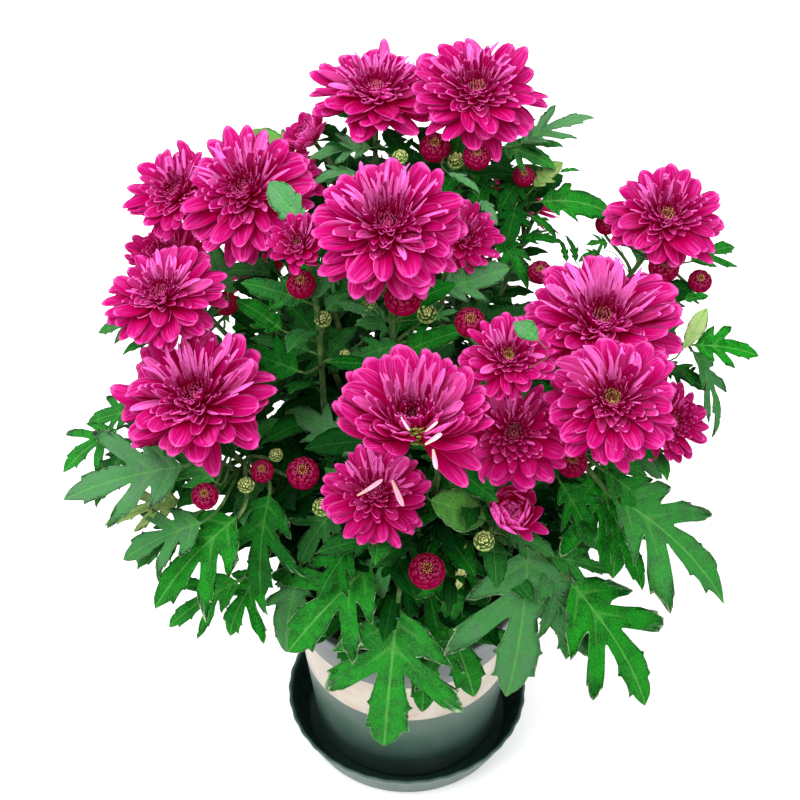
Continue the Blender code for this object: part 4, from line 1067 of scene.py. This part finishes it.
stem_parts = [[] for _ in range(CUTTINGS)]
for cutting, name, path in shoots:
    ends, sides = (SHOOT_R, SHOOT_SIDES) if name else (MAIN_STEM_R, MAIN_STEM_SIDES)
    stem_parts[cutting].append(tubes([path], np.linspace(*ends, len(path)), sides))
    if name in heads:
        foot, axis, across, *_, seed = heads[name]
        neck = np.array([path[-1] - axis * 0.002, path[-1], foot - axis * 0.02 * across,
                         foot + axis * 0.02 * across])
        neck_radii = (CUP_FOOT_R, *(across * share for share in CUP_RADII))
        stem_parts[cutting].append(tubes([neck], neck_radii, CUP_SIDES, BRACT_FINISH))
        stem_parts[cutting].append(set_on(bracts(across, seed), foot, frame_about(axis)))


def stalk(foot, axis, cup_radius, reach):
    """A thin stalk from the nearest shoot to a cup behind a bud. It gives the cutting of that shoot."""
    cutting, joint = nearest_joint(foot - axis * reach)
    neck = foot - axis * cup_radius
    length = np.linalg.norm(neck - joint)
    path = bezier(joint, joint + (0.0, 0.0, 0.4 * length), neck - axis * 0.3 * length, neck, STALK_POINTS)
    path = np.vstack((path, neck + axis * 0.5 * cup_radius, foot))
    radii = (*np.linspace(*STALK_R, STALK_POINTS), cup_radius * 0.8, cup_radius)
    stem_parts[cutting].append(tubes([path], radii, STALK_SIDES))
    return cutting


for foot, axis, across, seed in bud_heads.values():
    cutting = stalk(foot, axis, across * 0.26, STALK_REACH)
    stem_parts[cutting].append(set_on(bracts(across * 2.4, seed, 16, 0.8), foot + axis * 0.10 * across,
                                      frame_about(axis)))
for row, (pixel_x, pixel_y, height, across) in enumerate(GREEN_BUDS):
    axis = faced_axis(*BUD_FACING)
    foot = sight(pixel_x, pixel_y, height) - axis * across * 0.45
    cutting = stalk(foot, axis, 0.0010, GREEN_REACH)
    source = np.random.default_rng(GREEN_SEED + row)
    radius = across / 2
    share = (np.arange(GREEN_LUMPS) + 0.5) / GREEN_LUMPS
    lump_tilt = 86.0 - 56.0 * share + source.normal(0.0, 12.0, GREEN_LUMPS)
    # Bracts that curl over into a ball, and lumps on its top: how many, azimuth, root, rise, tilt, curl,
    # length, width, and how pale
    for count, azimuth, root, rise, tilt, curl, length, width, pale in (
            (GREEN_BRACTS, np.arange(GREEN_BRACTS) * math.tau / GREEN_BRACTS, 0.05, -0.1, 0.0, 112.0,
             1.95, 0.62, 0.35),
            (GREEN_LUMPS, np.arange(GREEN_LUMPS) * GOLDEN_ANGLE, 0.80 * np.sqrt(share),
             0.60 + 0.85 * np.sqrt(1.0 - share), lump_tilt, 40.0, source.uniform(0.34, 0.58, GREEN_LUMPS),
             0.36, 1.0)):
        tone = (source.uniform(0.0, 1.0, count), np.full(count, pale), np.full(count, 0.5))
        ball = petals(azimuth, root=radius * root, rise=radius * rise, tilt=tilt, curl=curl,
                      length=radius * length, width=radius * width, hollow=0.3, twist=0.0, tone=tone,
                      claw=0.7, blunt=1.9, stations=LUMP_STATIONS, around=6, finish=BRACT_FINISH)
        stem_parts[cutting].append(set_on(ball, foot, frame_about(axis)))

STEM_GREEN = (0.055, 0.160, 0.035, 1.0)
STEM_BROWN = (0.080, 0.052, 0.030, 1.0)
STEM_PALE = (0.200, 0.330, 0.110, 1.0)
stem_look, tree, shader = finish_of("ridged_stem", 0.6, Specular_IOR_Level=0.1)
patches, specks, _ = grain(tree, 120.0, 2200.0)
ridges = number(tree, "SINE", times(tree, facts(tree, "place")[1], 6.0))
green = blend(tree, between(tree, patches, 0.45, 0.75), STEM_GREEN, STEM_PALE)
feed(tree, shader, Base_Color=laid_over(tree, green, STEM_BROWN, between(tree, specks, 0.4, 0.7), 0.5))
bump(tree, shader, number(tree, "ADD", ridges, specks), 0.5, 0.0003)

BRACT_GREEN = (0.070, 0.220, 0.025, 1.0)
BRACT_CREAM = (0.800, 0.830, 0.330, 1.0)
bract_look, tree, shader = finish_of("bracts", 0.6, Specular_IOR_Level=0.1)
along = facts(tree, "place")[1]
chance, pale, _ = facts(tree, "tone")
light = scaled(tree, between(tree, along, 0.1, 0.8), 0.65, times(tree, chance, 0.35))
feed(tree, shader, Base_Color=laid_over(tree, BRACT_GREEN, BRACT_CREAM, light, pale))
bump(tree, shader, grain(tree, 300.0, 2200.0)[2], 0.5, 0.0003)


# Leaves
# Deeply lobed blades on short stalks: two pairs of side lobes that reach forward, and a long end lobe, all
# with blunt teeth and a pale net of veins. Large ones hang round the rim of the pot; small ones line the
# shoots.
# One side of the outline from foot to tip: share along, share across, and the share along the midrib that the
# blade is ruled from to there
LEAF_EDGE = (
    (0.000, 0.012, 0.000), (0.030, 0.020, 0.020), (0.055, 0.060, 0.035), (0.080, 0.130, 0.048),
    (0.110, 0.190, 0.058), (0.165, 0.235, 0.068), (0.186, 0.275, 0.074), (0.215, 0.290, 0.082),
    (0.265, 0.325, 0.090), (0.305, 0.350, 0.098), (0.300, 0.290, 0.110), (0.275, 0.225, 0.124),
    (0.262, 0.165, 0.140), (0.268, 0.135, 0.158), (0.300, 0.175, 0.172), (0.350, 0.245, 0.186),
    (0.395, 0.310, 0.194), (0.440, 0.345, 0.202), (0.478, 0.392, 0.208), (0.490, 0.375, 0.215),
    (0.550, 0.405, 0.224), (0.600, 0.415, 0.232), (0.632, 0.412, 0.240), (0.620, 0.365, 0.250),
    (0.598, 0.335, 0.260), (0.590, 0.305, 0.268), (0.540, 0.245, 0.282), (0.490, 0.190, 0.296),
    (0.450, 0.145, 0.312), (0.418, 0.110, 0.332), (0.402, 0.086, 0.356), (0.412, 0.078, 0.382),
    (0.445, 0.086, 0.420), (0.490, 0.094, 0.468), (0.550, 0.108, 0.525), (0.605, 0.122, 0.580),
    (0.625, 0.140, 0.600), (0.645, 0.118, 0.620), (0.700, 0.120, 0.675), (0.760, 0.124, 0.735),
    (0.805, 0.132, 0.775), (0.808, 0.092, 0.792), (0.850, 0.080, 0.835), (0.890, 0.064, 0.878),
    (0.922, 0.048, 0.908), (0.956, 0.028, 0.942), (0.986, 0.010, 0.972),
)
# Small leaves take every second row of it
SMALL_LEAF_STEP = 2
# Half the width of an unlobed blade, as a share of its length
PLAIN_WIDTH = 0.25
# The veins, as where they leave the midrib and the share along and across where they end
LEAF_VEINS = ((0.080, 0.300, 0.340), (0.210, 0.625, 0.405), (0.540, 0.625, 0.135), (0.700, 0.800, 0.130),
              (0.045, 0.090, 0.175), (0.310, 0.460, 0.380), (0.140, 0.200, 0.280))
# The height over the blade's plane, and how much the blade leans outwards and to the eye
LEAF_ARCH = 0.10
LEAF_FOLD = 0.14
LEAF_CURL = 0.35
LEAF_SWELL = 0.016
LEAF_LEAN = 0.5
LEAF_FACING = 0.5
LEAF_THICKNESS = 0.0005
# Where along the outline the lobes are, whose lengths differ by this share
LOBE_PLACES = (0.0, 0.35, 0.66, 1.0)
LOBE_SPREAD = 0.10


def vein_distance(v, w):
    """The distance in the blade's plane to the nearest vein, as a share of the blade's length."""
    best = np.abs(w)
    for start, end_v, end_w in LEAF_VEINS:
        run_v, run_w = end_v - start, end_w
        share = np.clip(((v - start) * run_v + np.abs(w) * run_w) / (run_v ** 2 + run_w ** 2), 0.0, 1.0)
        best = np.minimum(best, np.hypot(v - start - run_v * share, np.abs(w) - run_w * share))
    return best


def leaves(feet, tips, widths, looks, plain, greys, source, cuts, step):
    """Lobed blades from their feet to their tips.

    Each row of the outline is a straight line from midrib to edge, cut in equal shares, above and below.
    The edge is mixed by plain with that of an unlobed blade, PLAIN_WIDTH * sin(pi * rib ^ 0.8) wide.
    The height over the blade's plane is arch * 4v(1 - v) + fold * |w| - curl * w^2, with slow waves along the
    lobes and a slight swell between the veins.
    """
    feet, tips = np.asarray(feet, float), np.asarray(tips, float)
    count = len(feet)
    lengths = np.linalg.norm(tips - feet, axis=1)
    along = unit(tips - feet)
    outward = feet - (0.0, FACING_FROM[1], 0.0)
    outward[:, 2] = 0.0
    upward = LEAF_LEAN * unit(outward) + (0.0, 0.0, 1.0) + source.normal(0.0, 0.10, (count, 3))
    upward -= LEAF_FACING * VIEW_FORWARD
    normal = unit(upward - along * np.sum(upward * along, axis=1, keepdims=True))
    side = np.cross(normal, along)
    steps = np.concatenate((np.arange(-cuts, cuts + 1), np.arange(cuts - 1, -cuts, -1))) / cuts
    under = np.concatenate((np.zeros(2 * cuts + 1), np.ones(2 * cuts - 1)))
    edge_v, edge_w, rib = np.array(LEAF_EDGE)[::step].T
    lobes = np.array([np.interp(edge_v, LOBE_PLACES, hat) for hat in np.eye(4)])
    left = 1.0 + source.normal(0.0, LOBE_SPREAD, (count, 4)) @ lobes
    right = 1.0 + source.normal(0.0, LOBE_SPREAD, (count, 4)) @ lobes
    reach = np.where(steps[None, None] < 0.0, left[..., None], right[..., None])
    plain = np.asarray(plain, float)[:, None]
    smooth_v = rib + 0.10 * np.sin(math.pi * rib)
    smooth_w = PLAIN_WIDTH * np.sin(math.pi * rib ** 0.8)
    ahead = (edge_v - rib) * (1.0 - plain) + (smooth_v - rib) * plain
    aside = edge_w * (1.0 - plain) + smooth_w * plain
    flat_v = rib[:, None] + ahead[..., None] * np.abs(steps)
    flat_w = aside[..., None] * steps
    distance = vein_distance(flat_v, flat_w)
    v = flat_v + (reach - 1.0) * 0.35 * np.abs(flat_w)
    w = flat_w * reach
    phase = source.uniform(0.0, math.tau, (count, 3))[..., None, None]
    waves = (0.020 * np.sin(9.0 * v + phase[:, 0]) * np.abs(w) / 0.3
             + 0.030 * np.sin(5.0 * v + 6.0 * w + phase[:, 1]) * np.abs(w) / 0.4
             + 0.012 * np.sin(26.0 * v + 14.0 * w + phase[:, 2]) * (np.abs(w) / 0.4) ** 0.5)
    swell = LEAF_SWELL * np.clip(distance / 0.05, 0.0, 1.0)
    lift = LEAF_ARCH * 4.0 * v * (1.0 - v) + LEAF_FOLD * np.abs(w) - LEAF_CURL * w ** 2 + waves + swell
    size = lengths[:, None, None, None]
    points = (feet[:, None, None] + size * (along[:, None, None] * v[..., None]
              + side[:, None, None] * (w * np.asarray(widths)[:, None, None])[..., None]
              + normal[:, None, None] * lift[..., None]))
    points = points - normal[:, None, None] * (under * LEAF_THICKNESS)[None, None, :, None]
    place = np.stack(np.broadcast_arrays(v, w, distance), axis=-1)
    grey = (np.asarray(greys) + source.uniform(-0.1, 0.1, count))[:, None, None]
    sheet = np.where(under > 0.0, 2.0 - np.abs(steps), np.abs(steps))
    tone = np.stack(np.broadcast_arrays(grey, np.asarray(looks)[:, None, None], sheet + 0.0 * v), axis=-1)
    return skin(points, feet, tips, place, tone, LEAF_FINISH)


# Each large leaf: pixel and height of its foot, pixel and height of its tip, width as a share of the usual,
# its look from deep shade (0) over fresh green (1) to yellow (2), and, unless they are 0, how unlobed it is
# and how grey
LEAVES = (
    # low on the left
    (118, 429, 0.27, 63, 473, 0.255, 1.05, 0.8, 0, 0.1),
    (135, 412, 0.275, 87, 425, 0.262, 1.1, 0.7, 0.2, 0.2),
    (186, 466, 0.268, 63, 500, 0.245, 0.85, 0.6, 0, 0.8),
    (203, 522, 0.24, 123, 560, 0.212, 0.9, 0.7, 0, 0.5), (239, 516, 0.24, 155, 609, 0.185, 0.95, 0.9),
    (241, 580, 0.2, 169, 627, 0.16, 0.7, 1), (262, 570, 0.2, 230, 636, 0.15, 0.9, 1),
    (270, 492, 0.25, 262, 600, 0.185, 0.9, 0.4), (300, 570, 0.195, 286, 652, 0.14, 0.9, 0.8, 0.5, 0.5),
    (182, 500, 0.24, 104, 526, 0.225, 0.7, 1.45), (200, 512, 0.238, 137, 570, 0.205, 0.6, 0.8, 0.3, 0.3),
    (128, 446, 0.266, 96, 508, 0.238, 0.7, 0.7, 0.2, 0.3),
    # round the front of the pot
    (374, 561, 0.21, 288, 652, 0.15, 1, 1, 0, 0.1), (398, 604, 0.188, 384, 746, 0.094, 1, 1),
    (440, 606, 0.168, 474, 697, 0.112, 1.25, 0.9), (428, 610, 0.168, 422, 712, 0.105, 0.9, 0.9, 0.3),
    (528, 543, 0.225, 506, 697, 0.13, 0.95, 0.7, 0, 0.6),
    (548, 560, 0.215, 566, 660, 0.15, 0.8, 0.6, 0.1, 0.5),
    (567, 578, 0.205, 645, 706, 0.115, 0.76, 1, 0, 0.1), (350, 590, 0.185, 350, 672, 0.135, 0.9, 0.5),
    # low on the right
    (596, 462, 0.262, 613, 579, 0.198, 1.05, 0.8, 0.12),
    (610, 494, 0.252, 724, 604, 0.19, 0.92, 0.8, 0, 0.2), (603, 470, 0.262, 664, 530, 0.222, 0.8, 0.6, 0.4),
    (548, 556, 0.225, 611, 573, 0.205, 0.7, 0.6, 0.1, 0.2),
    # high on the right
    (693, 345, 0.31, 759, 356, 0.298, 0.9, 0.9, 0.2), (691, 349, 0.3, 712, 438, 0.235, 0.5, 0.7, 0, 0.5),
    (684, 300, 0.315, 709, 296, 0.313, 0.8, 0.6, 0.5), (690, 262, 0.31, 735, 247, 0.306, 1, 0.8),
    (682, 371, 0.29, 702, 386, 0.276, 1, 0.5, 0.4), (683, 349, 0.312, 707, 308, 0.322, 0.7, 1.4, 1, 0.4),
    # high at the back
    (519, 145, 0.362, 595, 118, 0.368, 0.75, 0.7, 0, 0.9),
    (500, 148, 0.36, 556, 170, 0.352, 1.3, 0.8, 0.3, 0.2),
    (534, 187, 0.345, 563, 162, 0.352, 1.1, 1.4, 0.6), (560, 172, 0.35, 580, 171, 0.35, 0.8, 0.9, 0.6),
    (540, 202, 0.335, 613, 215, 0.325, 1.5, 0.9, 0.6), (480, 200, 0.352, 497, 226, 0.344, 1, 0.7, 0.6, 0.9),
    (448, 173, 0.372, 480, 194, 0.366, 0.6, 0.7, 0.6, 0.9), (516, 205, 0.34, 504, 250, 0.33, 1.1, 0.2, 0.4),
    (520, 180, 0.345, 498, 214, 0.338, 1.1, 0.3, 0.4), (608, 243, 0.318, 586, 245, 0.318, 1.3, 0.8),
    (600, 252, 0.316, 578, 262, 0.314, 1, 0.5, 0.4), (567, 262, 0.312, 557, 238, 0.318, 0.6, 0.6, 0.5),
    (576, 262, 0.312, 565, 235, 0.32, 0.6, 0.4, 0.5), (520, 278, 0.318, 516, 255, 0.326, 1.2, 0.7, 0.4),
    (512, 150, 0.358, 564, 147, 0.356, 0.9, 0.8, 0.3, 0.3),
    (516, 240, 0.325, 561, 243, 0.322, 0.8, 0.3, 0.4), (530, 198, 0.33, 563, 175, 0.334, 1.2, 0.2, 0.5),
    (655, 302, 0.306, 695, 286, 0.308, 1.3, 0.2, 0.6), (604, 500, 0.244, 642, 591, 0.196, 0.6, 0.8, 0.3),
    # between and behind the upper blooms
    (293, 155, 0.352, 250, 131, 0.35, 0.8, 1.25, 0.5), (305, 224, 0.386, 269, 182, 0.394, 1, 0.8, 0.8, 0.7),
    (372, 148, 0.368, 308, 160, 0.36, 1.1, 0.7, 0.2, 0.9),
    (356, 172, 0.36, 311, 186, 0.36, 1.1, 0.7, 0.4, 0.9), (345, 150, 0.358, 318, 124, 0.362, 1.1, 0.2, 0.4),
    (376, 152, 0.358, 352, 126, 0.364, 1.2, 0.2, 0.4), (440, 205, 0.352, 456, 172, 0.36, 1.2, 0.3, 0.4),
    (500, 190, 0.338, 548, 170, 0.34, 1.4, 0.3, 0.5), (455, 185, 0.342, 520, 176, 0.342, 1.3, 0.3, 0.5),
    (470, 212, 0.332, 540, 196, 0.33, 1.3, 0.2, 0.5), (488, 176, 0.345, 470, 216, 0.336, 1.2, 0.5, 0.4),
    (530, 215, 0.33, 556, 240, 0.322, 1, 0.6, 0.5), (405, 165, 0.362, 384, 128, 0.37, 1.1, 0.2, 0.4),
    (425, 165, 0.362, 428, 126, 0.37, 1.1, 0.25, 0.4), (452, 172, 0.362, 460, 128, 0.372, 1, 0.8, 0.5),
    (290, 205, 0.345, 262, 222, 0.345, 1.1, 0.2, 0.3),
    (228, 292, 0.322, 212, 246, 0.332, 0.9, 0.6, 0.6, 0.5),
    (140, 322, 0.308, 98, 333, 0.3, 1.1, 0.6, 0.1, 0.4),
    # dark ones in painted shade that close the plant behind the upper blooms
    (360, 190, 0.33, 320, 150, 0.34, 1.4, 0.15, 0.6), (400, 195, 0.33, 352, 158, 0.338, 1.4, 0.1, 0.6),
    (420, 200, 0.33, 398, 146, 0.338, 1.4, 0.1, 0.6), (440, 205, 0.33, 440, 150, 0.338, 1.4, 0.15, 0.6),
    (460, 215, 0.328, 478, 165, 0.335, 1.4, 0.1, 0.6), (470, 235, 0.322, 520, 222, 0.325, 1.4, 0.1, 0.6),
    (330, 215, 0.33, 300, 175, 0.336, 1.3, 0.1, 0.5), (318, 235, 0.33, 262, 240, 0.33, 1.3, 0.1, 0.5),
    (500, 215, 0.325, 545, 205, 0.325, 1.4, 0.1, 0.6), (492, 170, 0.335, 520, 150, 0.338, 1.2, 0.1, 0.6),
    (290, 300, 0.3, 232, 285, 0.305, 1.3, 0.1, 0.6), (275, 332, 0.29, 228, 306, 0.296, 1.3, 0.15, 0.6),
    (268, 352, 0.282, 232, 334, 0.288, 1.3, 0.1, 0.6), (215, 482, 0.258, 166, 436, 0.27, 1, 0.8, 0.2, 0.2),
    # inside the crown
    (538, 340, 0.372, 513, 323, 0.376, 1.5, 0.8, 1, 0.6),
    (340, 274, 0.35, 312, 301, 0.34, 1.1, 0.7, 0.4, 0.6),
    (388, 322, 0.325, 334, 303, 0.335, 0.8, 0.6, 0.2, 0.6),
    (346, 440, 0.264, 285, 412, 0.262, 0.9, 0.5, 0.4, 0.9),
    (430, 500, 0.27, 486, 520, 0.248, 1.3, 1.2, 0.9), (282, 330, 0.31, 236, 300, 0.318, 1, 0.7, 0.5),
    (300, 372, 0.3, 238, 352, 0.29, 0.9, 0.3, 0.2), (400, 345, 0.318, 340, 366, 0.3, 0.8, 0.4, 0.3, 0.2),
    (442, 292, 0.335, 510, 268, 0.335, 1.1, 0.7, 0.4, 0.9),
    (430, 318, 0.33, 458, 311, 0.33, 0.7, 0.7, 0.2, 0.5), (560, 482, 0.262, 590, 545, 0.225, 1, 0.5, 0.3),
    (352, 545, 0.225, 318, 600, 0.19, 0.9, 0.5), (498, 240, 0.33, 528, 290, 0.312, 0.9, 0.5, 0.1),
    (338, 505, 0.236, 300, 566, 0.196, 1, 0.5, 0.1, 0.3), (462, 548, 0.218, 450, 622, 0.168, 1, 0.7),
    (400, 540, 0.225, 372, 604, 0.182, 0.9, 0.6, 0.2, 0.6),
    (480, 505, 0.238, 542, 545, 0.212, 0.9, 0.7, 0, 0.3), (458, 590, 0.205, 466, 543, 0.232, 0.35, 2, 0.6),
    (420, 560, 0.205, 440, 640, 0.15, 0.9, 0.4),
)
# Leaves that fill the plant, in tiers round its axis: height of the foot, drop to the tip, reach of the foot,
# length of the blade, the angles that the tier spans, and how many there are
TIERS = (
    (0.240, 0.030, 0.080, 0.072, 10, 170, 5),
    (0.175, 0.045, 0.062, 0.076, -4, 184, 5),
    (0.182, 0.025, 0.036, 0.060, 222, 318, 3),
    (0.285, 0.010, 0.030, 0.058, 30, 330, 3),
)
TIER_CENTRE_Y = 0.030
# Width, look, how unlobed and how grey the leaves of the tiers are
TIER_LEAF = (1.0, 0.5, 0.2, 0.3)
# Leaves along a shoot: where the first is and how far the last keeps from the bloom, the distance between
# them, and the length of the blade at its foot and behind the bloom
SHOOT_LEAF_FIRST = 0.025
SHOOT_LEAF_LAST = 0.010
SHOOT_LEAF_STEP = 0.0085
SHOOT_LEAF_LENGTH = (0.052, 0.028)
# The stalk of a leaf: its points and sides, and its radii as shares of the blade's length
PETIOLE_POINTS = 7
PETIOLE_SIDES = 6
PETIOLE_R = (0.021, 0.014)
draw = np.random.default_rng(77)
large = [(sight(*row[0:3]), sight(*row[3:6]), *(row[6:] + (0.0, 0.0))[:4]) for row in LEAVES]
for height, drop, reach, length, first, last, count in TIERS:
    for angle in np.radians(np.linspace(first, last, count)):
        outward = np.array([math.cos(angle), math.sin(angle), 0.0])
        foot = outward * reach + (0.0, TIER_CENTRE_Y, height)
        tip = foot + outward * math.sqrt(length ** 2 - drop ** 2) - (0.0, 0.0, drop)
        large.append((foot, tip, *TIER_LEAF))
# Each leaf as (cutting, joint on its shoot, foot, tip, width, look, how unlobed, how grey)
large = [(*nearest_joint(foot - (0.0, 0.0, PETIOLE_DROP)), foot, *own) for foot, *own in large]
small = []
for cutting, name, path in shoots:
    if not name:
        continue
    run = np.concatenate(([0.0], np.cumsum(np.linalg.norm(np.diff(path, axis=0), axis=1))))
    for order, there in enumerate(np.arange(SHOOT_LEAF_FIRST, run[-1] - SHOOT_LEAF_LAST, SHOOT_LEAF_STEP)):
        joint = np.array([np.interp(there, run, path[:, i]) for i in range(3)])
        ahead = unit(np.array([np.interp(there + 0.002, run, path[:, i]) for i in range(3)]) - joint)
        side, other, _ = frame_about(ahead)
        turn = order * GOLDEN_ANGLE + draw.normal(0.0, 0.25) + cutting
        outward = side * math.cos(turn) + other * math.sin(turn)
        grown = there / run[-1]
        length = np.interp(grown, (0.0, 1.0), SHOOT_LEAF_LENGTH) * draw.uniform(0.85, 1.15)
        foot = joint + outward * 0.16 * length + ahead * 0.10 * length
        away = unit(outward + ahead * (0.15 + 0.45 * grown) - (0.0, 0.0, draw.uniform(0.0, 0.35)))
        width = draw.uniform(0.8, 1.05)
        # Leaves low on a shoot, deep in the plant, take a darker look: painted shade
        look = float(np.clip(0.05 + 0.5 * grown + draw.normal(0.0, 0.15), 0.0, 0.9))
        plain = draw.uniform(0.1, 0.8)
        grey = max(0.0, draw.normal(0.15, 0.35)) * grown
        small.append((cutting, joint, foot, foot + away * length, width, look, plain, grey))


def clear_of_heads(feet, tips):
    """Which leaves stay out of all blooms: none of seven places along the blade is in the bowl of petals."""
    share = np.linspace(0.0, 1.0, 7)[None, :, None]
    spots = feet[:, None] * (1 - share) + tips[:, None] * share
    free = np.ones(len(feet), bool)
    for foot, axis, across, *_ in heads.values():
        offset = spots - foot
        ahead = offset @ axis
        aside = np.linalg.norm(offset - ahead[..., None] * axis, axis=-1)
        within = (aside < 0.50 * across) & (ahead > -0.06 * across) & (ahead < 0.55 * across)
        free &= ~within.any(axis=1)
    for foot, axis, across, _ in bud_heads.values():
        within = np.linalg.norm(spots - (foot + axis * across * 0.5), axis=-1) < 0.6 * across
        free &= ~within.any(axis=1)
    return free


large = [np.array(column) for column in zip(*large)]
small = [np.array(column) for column in zip(*small)]
keep = clear_of_heads(small[2], small[3])
small = [column[keep] for column in small]
for columns, cuts, step in ((large, 3, 1), (small, 2, SMALL_LEAF_STEP)):
    for cutting in range(CUTTINGS):
        of_cutting = columns[0] == cutting
        if not of_cutting.any():
            continue
        joint, foot, tip, *own = (column[of_cutting] for column in columns[1:])
        length = np.linalg.norm(tip - foot, axis=1)[:, None]
        run = np.linalg.norm(foot - joint, axis=1)[:, None]
        leave = joint + (foot - joint) * 0.3 + (0.0, 0.0, 0.1) * run
        paths = bezier(joint, leave, foot - unit(tip - foot) * 0.35 * run, foot, PETIOLE_POINTS)
        into_blade = foot[:, None] + unit(tip - foot)[:, None] * length[:, None] * 0.02
        paths = np.concatenate((paths, into_blade), axis=1)
        radii = np.linspace(*PETIOLE_R, PETIOLE_POINTS + 1)[None] * length
        stem_parts[cutting].append(tubes(paths, radii, PETIOLE_SIDES))
        stem_parts[cutting].append(leaves(foot, tip, *own, draw, cuts, step))

LEAF_SHADE = (0.001, 0.026, 0.004, 1.0)
LEAF_FRESH = (0.003, 0.185, 0.007, 1.0)
LEAF_GREY_AND_SHEEN = (0.150, 0.290, 0.170, 1.0)
LEAF_UNDER = (0.060, 0.190, 0.070, 1.0)
LEAF_VEIN = (0.045, 0.330, 0.030, 1.0)
LEAF_RIB = (0.110, 0.370, 0.070, 1.0)
LEAF_PALE_RIM_AND_HIGHLIGHT = (0.480, 0.680, 0.380, 1.0)
LEAF_YELLOW = (0.600, 0.640, 0.250, 1.0)
leaf_look, tree, shader = finish_of("leaf_blades", 0.55, Specular_IOR_Level=0.02)
patches, specks, height = grain(tree, 110.0, 1500.0)
_, across, distance = facts(tree, "place")
grey, look, sheet = facts(tree, "tone")
where = node(tree, "ShaderNodeTexCoord").outputs["Object"]
net = node(tree, "ShaderNodeTexVoronoi", {"Vector": where, "Scale": 420.0}, feature="DISTANCE_TO_EDGE")
cells = net.outputs[0]
# Painted shade: a leaf with a low look is dark, and soft patches darken parts of every leaf
green = blend(tree, look, LEAF_SHADE, LEAF_FRESH)
green = laid_over(tree, green, LEAF_SHADE, between(tree, patches, 0.42, 0.66), 0.60)
# Grey patches on lit leaves: partly their own grey-green, partly painted sheen
grey_and_sheen = times(tree, scaled(tree, patches, 0.8, 0.35), times(tree, grey, look))
green = laid_over(tree, green, LEAF_GREY_AND_SHEEN, grey_and_sheen, 1.1)
# Pale grains, the net of veins, yellow where a leaf is old, the larger veins, the midrib, and the rim, a pale
# edge that is partly painted highlight
green = laid_over(tree, green, LEAF_VEIN, between(tree, specks, 0.50, 0.68), times(tree, look, 0.65))
green = laid_over(tree, green, LEAF_VEIN, between(tree, cells, 0.10, 0.0), times(tree, look, 0.25))
green = blend(tree, between(tree, look, 1.05, 1.9), green, LEAF_YELLOW)
green = laid_over(tree, green, LEAF_RIB, between(tree, distance, 0.006, 0.001), times(tree, look, 0.32))
midrib = between(tree, number(tree, "ABSOLUTE", across), 0.012, 0.003)
green = laid_over(tree, green, LEAF_RIB, midrib, times(tree, look, 0.50))
green = laid_over(tree, green, LEAF_PALE_RIM_AND_HIGHLIGHT, between(tree, sheet, 0.95, 0.995), times(tree, look, 0.80))
green = blend(tree, between(tree, sheet, 1.02, 1.10), green, LEAF_UNDER)
feed(tree, shader, Base_Color=green, Roughness=scaled(tree, specks, 0.3, 0.42))
raised = number(tree, "ADD", height, between(tree, cells, 0.0, 0.35))
bump(tree, shader, number(tree, "ADD", raised, between(tree, distance, 0.0, 0.02)), 0.6, 0.0005)

for cutting, parts in enumerate(stem_parts, 1):
    piece(f"leafy_stem_{cutting}_growth", parts, [stem_look, bract_look, leaf_look], "foliage",
          f"leafy_stem_{cutting}")


# Floor, lights and camera
# A pale floor under three soft lights and an even sky, seen from where the plant was seen.
FLOOR_SIZE = 8.0
FLOOR_PALE = (0.970, 0.970, 0.970, 1.0)
FLOOR_PALER = (0.985, 0.985, 0.985, 1.0)
WHITE = (1.0, 1.0, 1.0, 1.0)
bpy.ops.mesh.primitive_plane_add(size=FLOOR_SIZE, location=(0.0, 0.0, 0.0))
floor = bpy.context.object
floor.name = "floor"
floor_finish, tree, shader = finish_of("floor_paper", 0.85, Emission_Color=WHITE, Emission_Strength=0.25)
feed(tree, shader, Base_Color=blend(tree, grain(tree, 1.5, 40.0)[0], FLOOR_PALE, FLOOR_PALER))
floor.data.materials.append(floor_finish)

# Each light's place, size and power
LIGHTS = {
    "soft_left": ((-0.8, -0.5, 1.5), 1.3, 27.0),
    "soft_right": ((1.0, -0.5, 1.3), 1.4, 14.0),
    "soft_top": ((0.1, 0.3, 1.8), 1.5, 20.0),
}
SKY_STRENGTH = 0.55
for name, (place, size, power) in LIGHTS.items():
    lamp = bpy.data.lights.new(name, "AREA")
    lamp.size = size
    lamp.energy = power
    lit = bpy.data.objects.new(name, lamp)
    bpy.context.scene.collection.objects.link(lit)
    toward = -unit(np.array(place) - VIEW_TARGET)
    side = unit(np.cross(toward, (0.0, 0.0, 1.0)))
    over = np.cross(side, toward)
    lit.matrix_world = Matrix.Translation(place) @ Matrix((side, over, -toward)).transposed().to_4x4()

world = bpy.data.worlds.new("studio")
world.use_nodes = True
background = world.node_tree.nodes["Background"]
background.inputs["Color"].default_value = WHITE
background.inputs["Strength"].default_value = SKY_STRENGTH
bpy.context.scene.world = world
bpy.context.scene.view_settings.view_transform = "Standard"

SENSOR = 36.0
IMAGE_PIXELS = 800.0
lens = bpy.data.cameras.new("camera")
lens.sensor_width = SENSOR
lens.lens = VIEW_FOCAL_PIXELS / IMAGE_PIXELS * SENSOR
camera = bpy.data.objects.new("camera", lens)
bpy.context.scene.collection.objects.link(camera)
camera.matrix_world = (Matrix.Translation(VIEW_EYE)
                       @ Matrix(((1.0, 0.0, 0.0), VIEW_UPWARD, -VIEW_FORWARD)).transposed().to_4x4())
bpy.context.scene.camera = camera
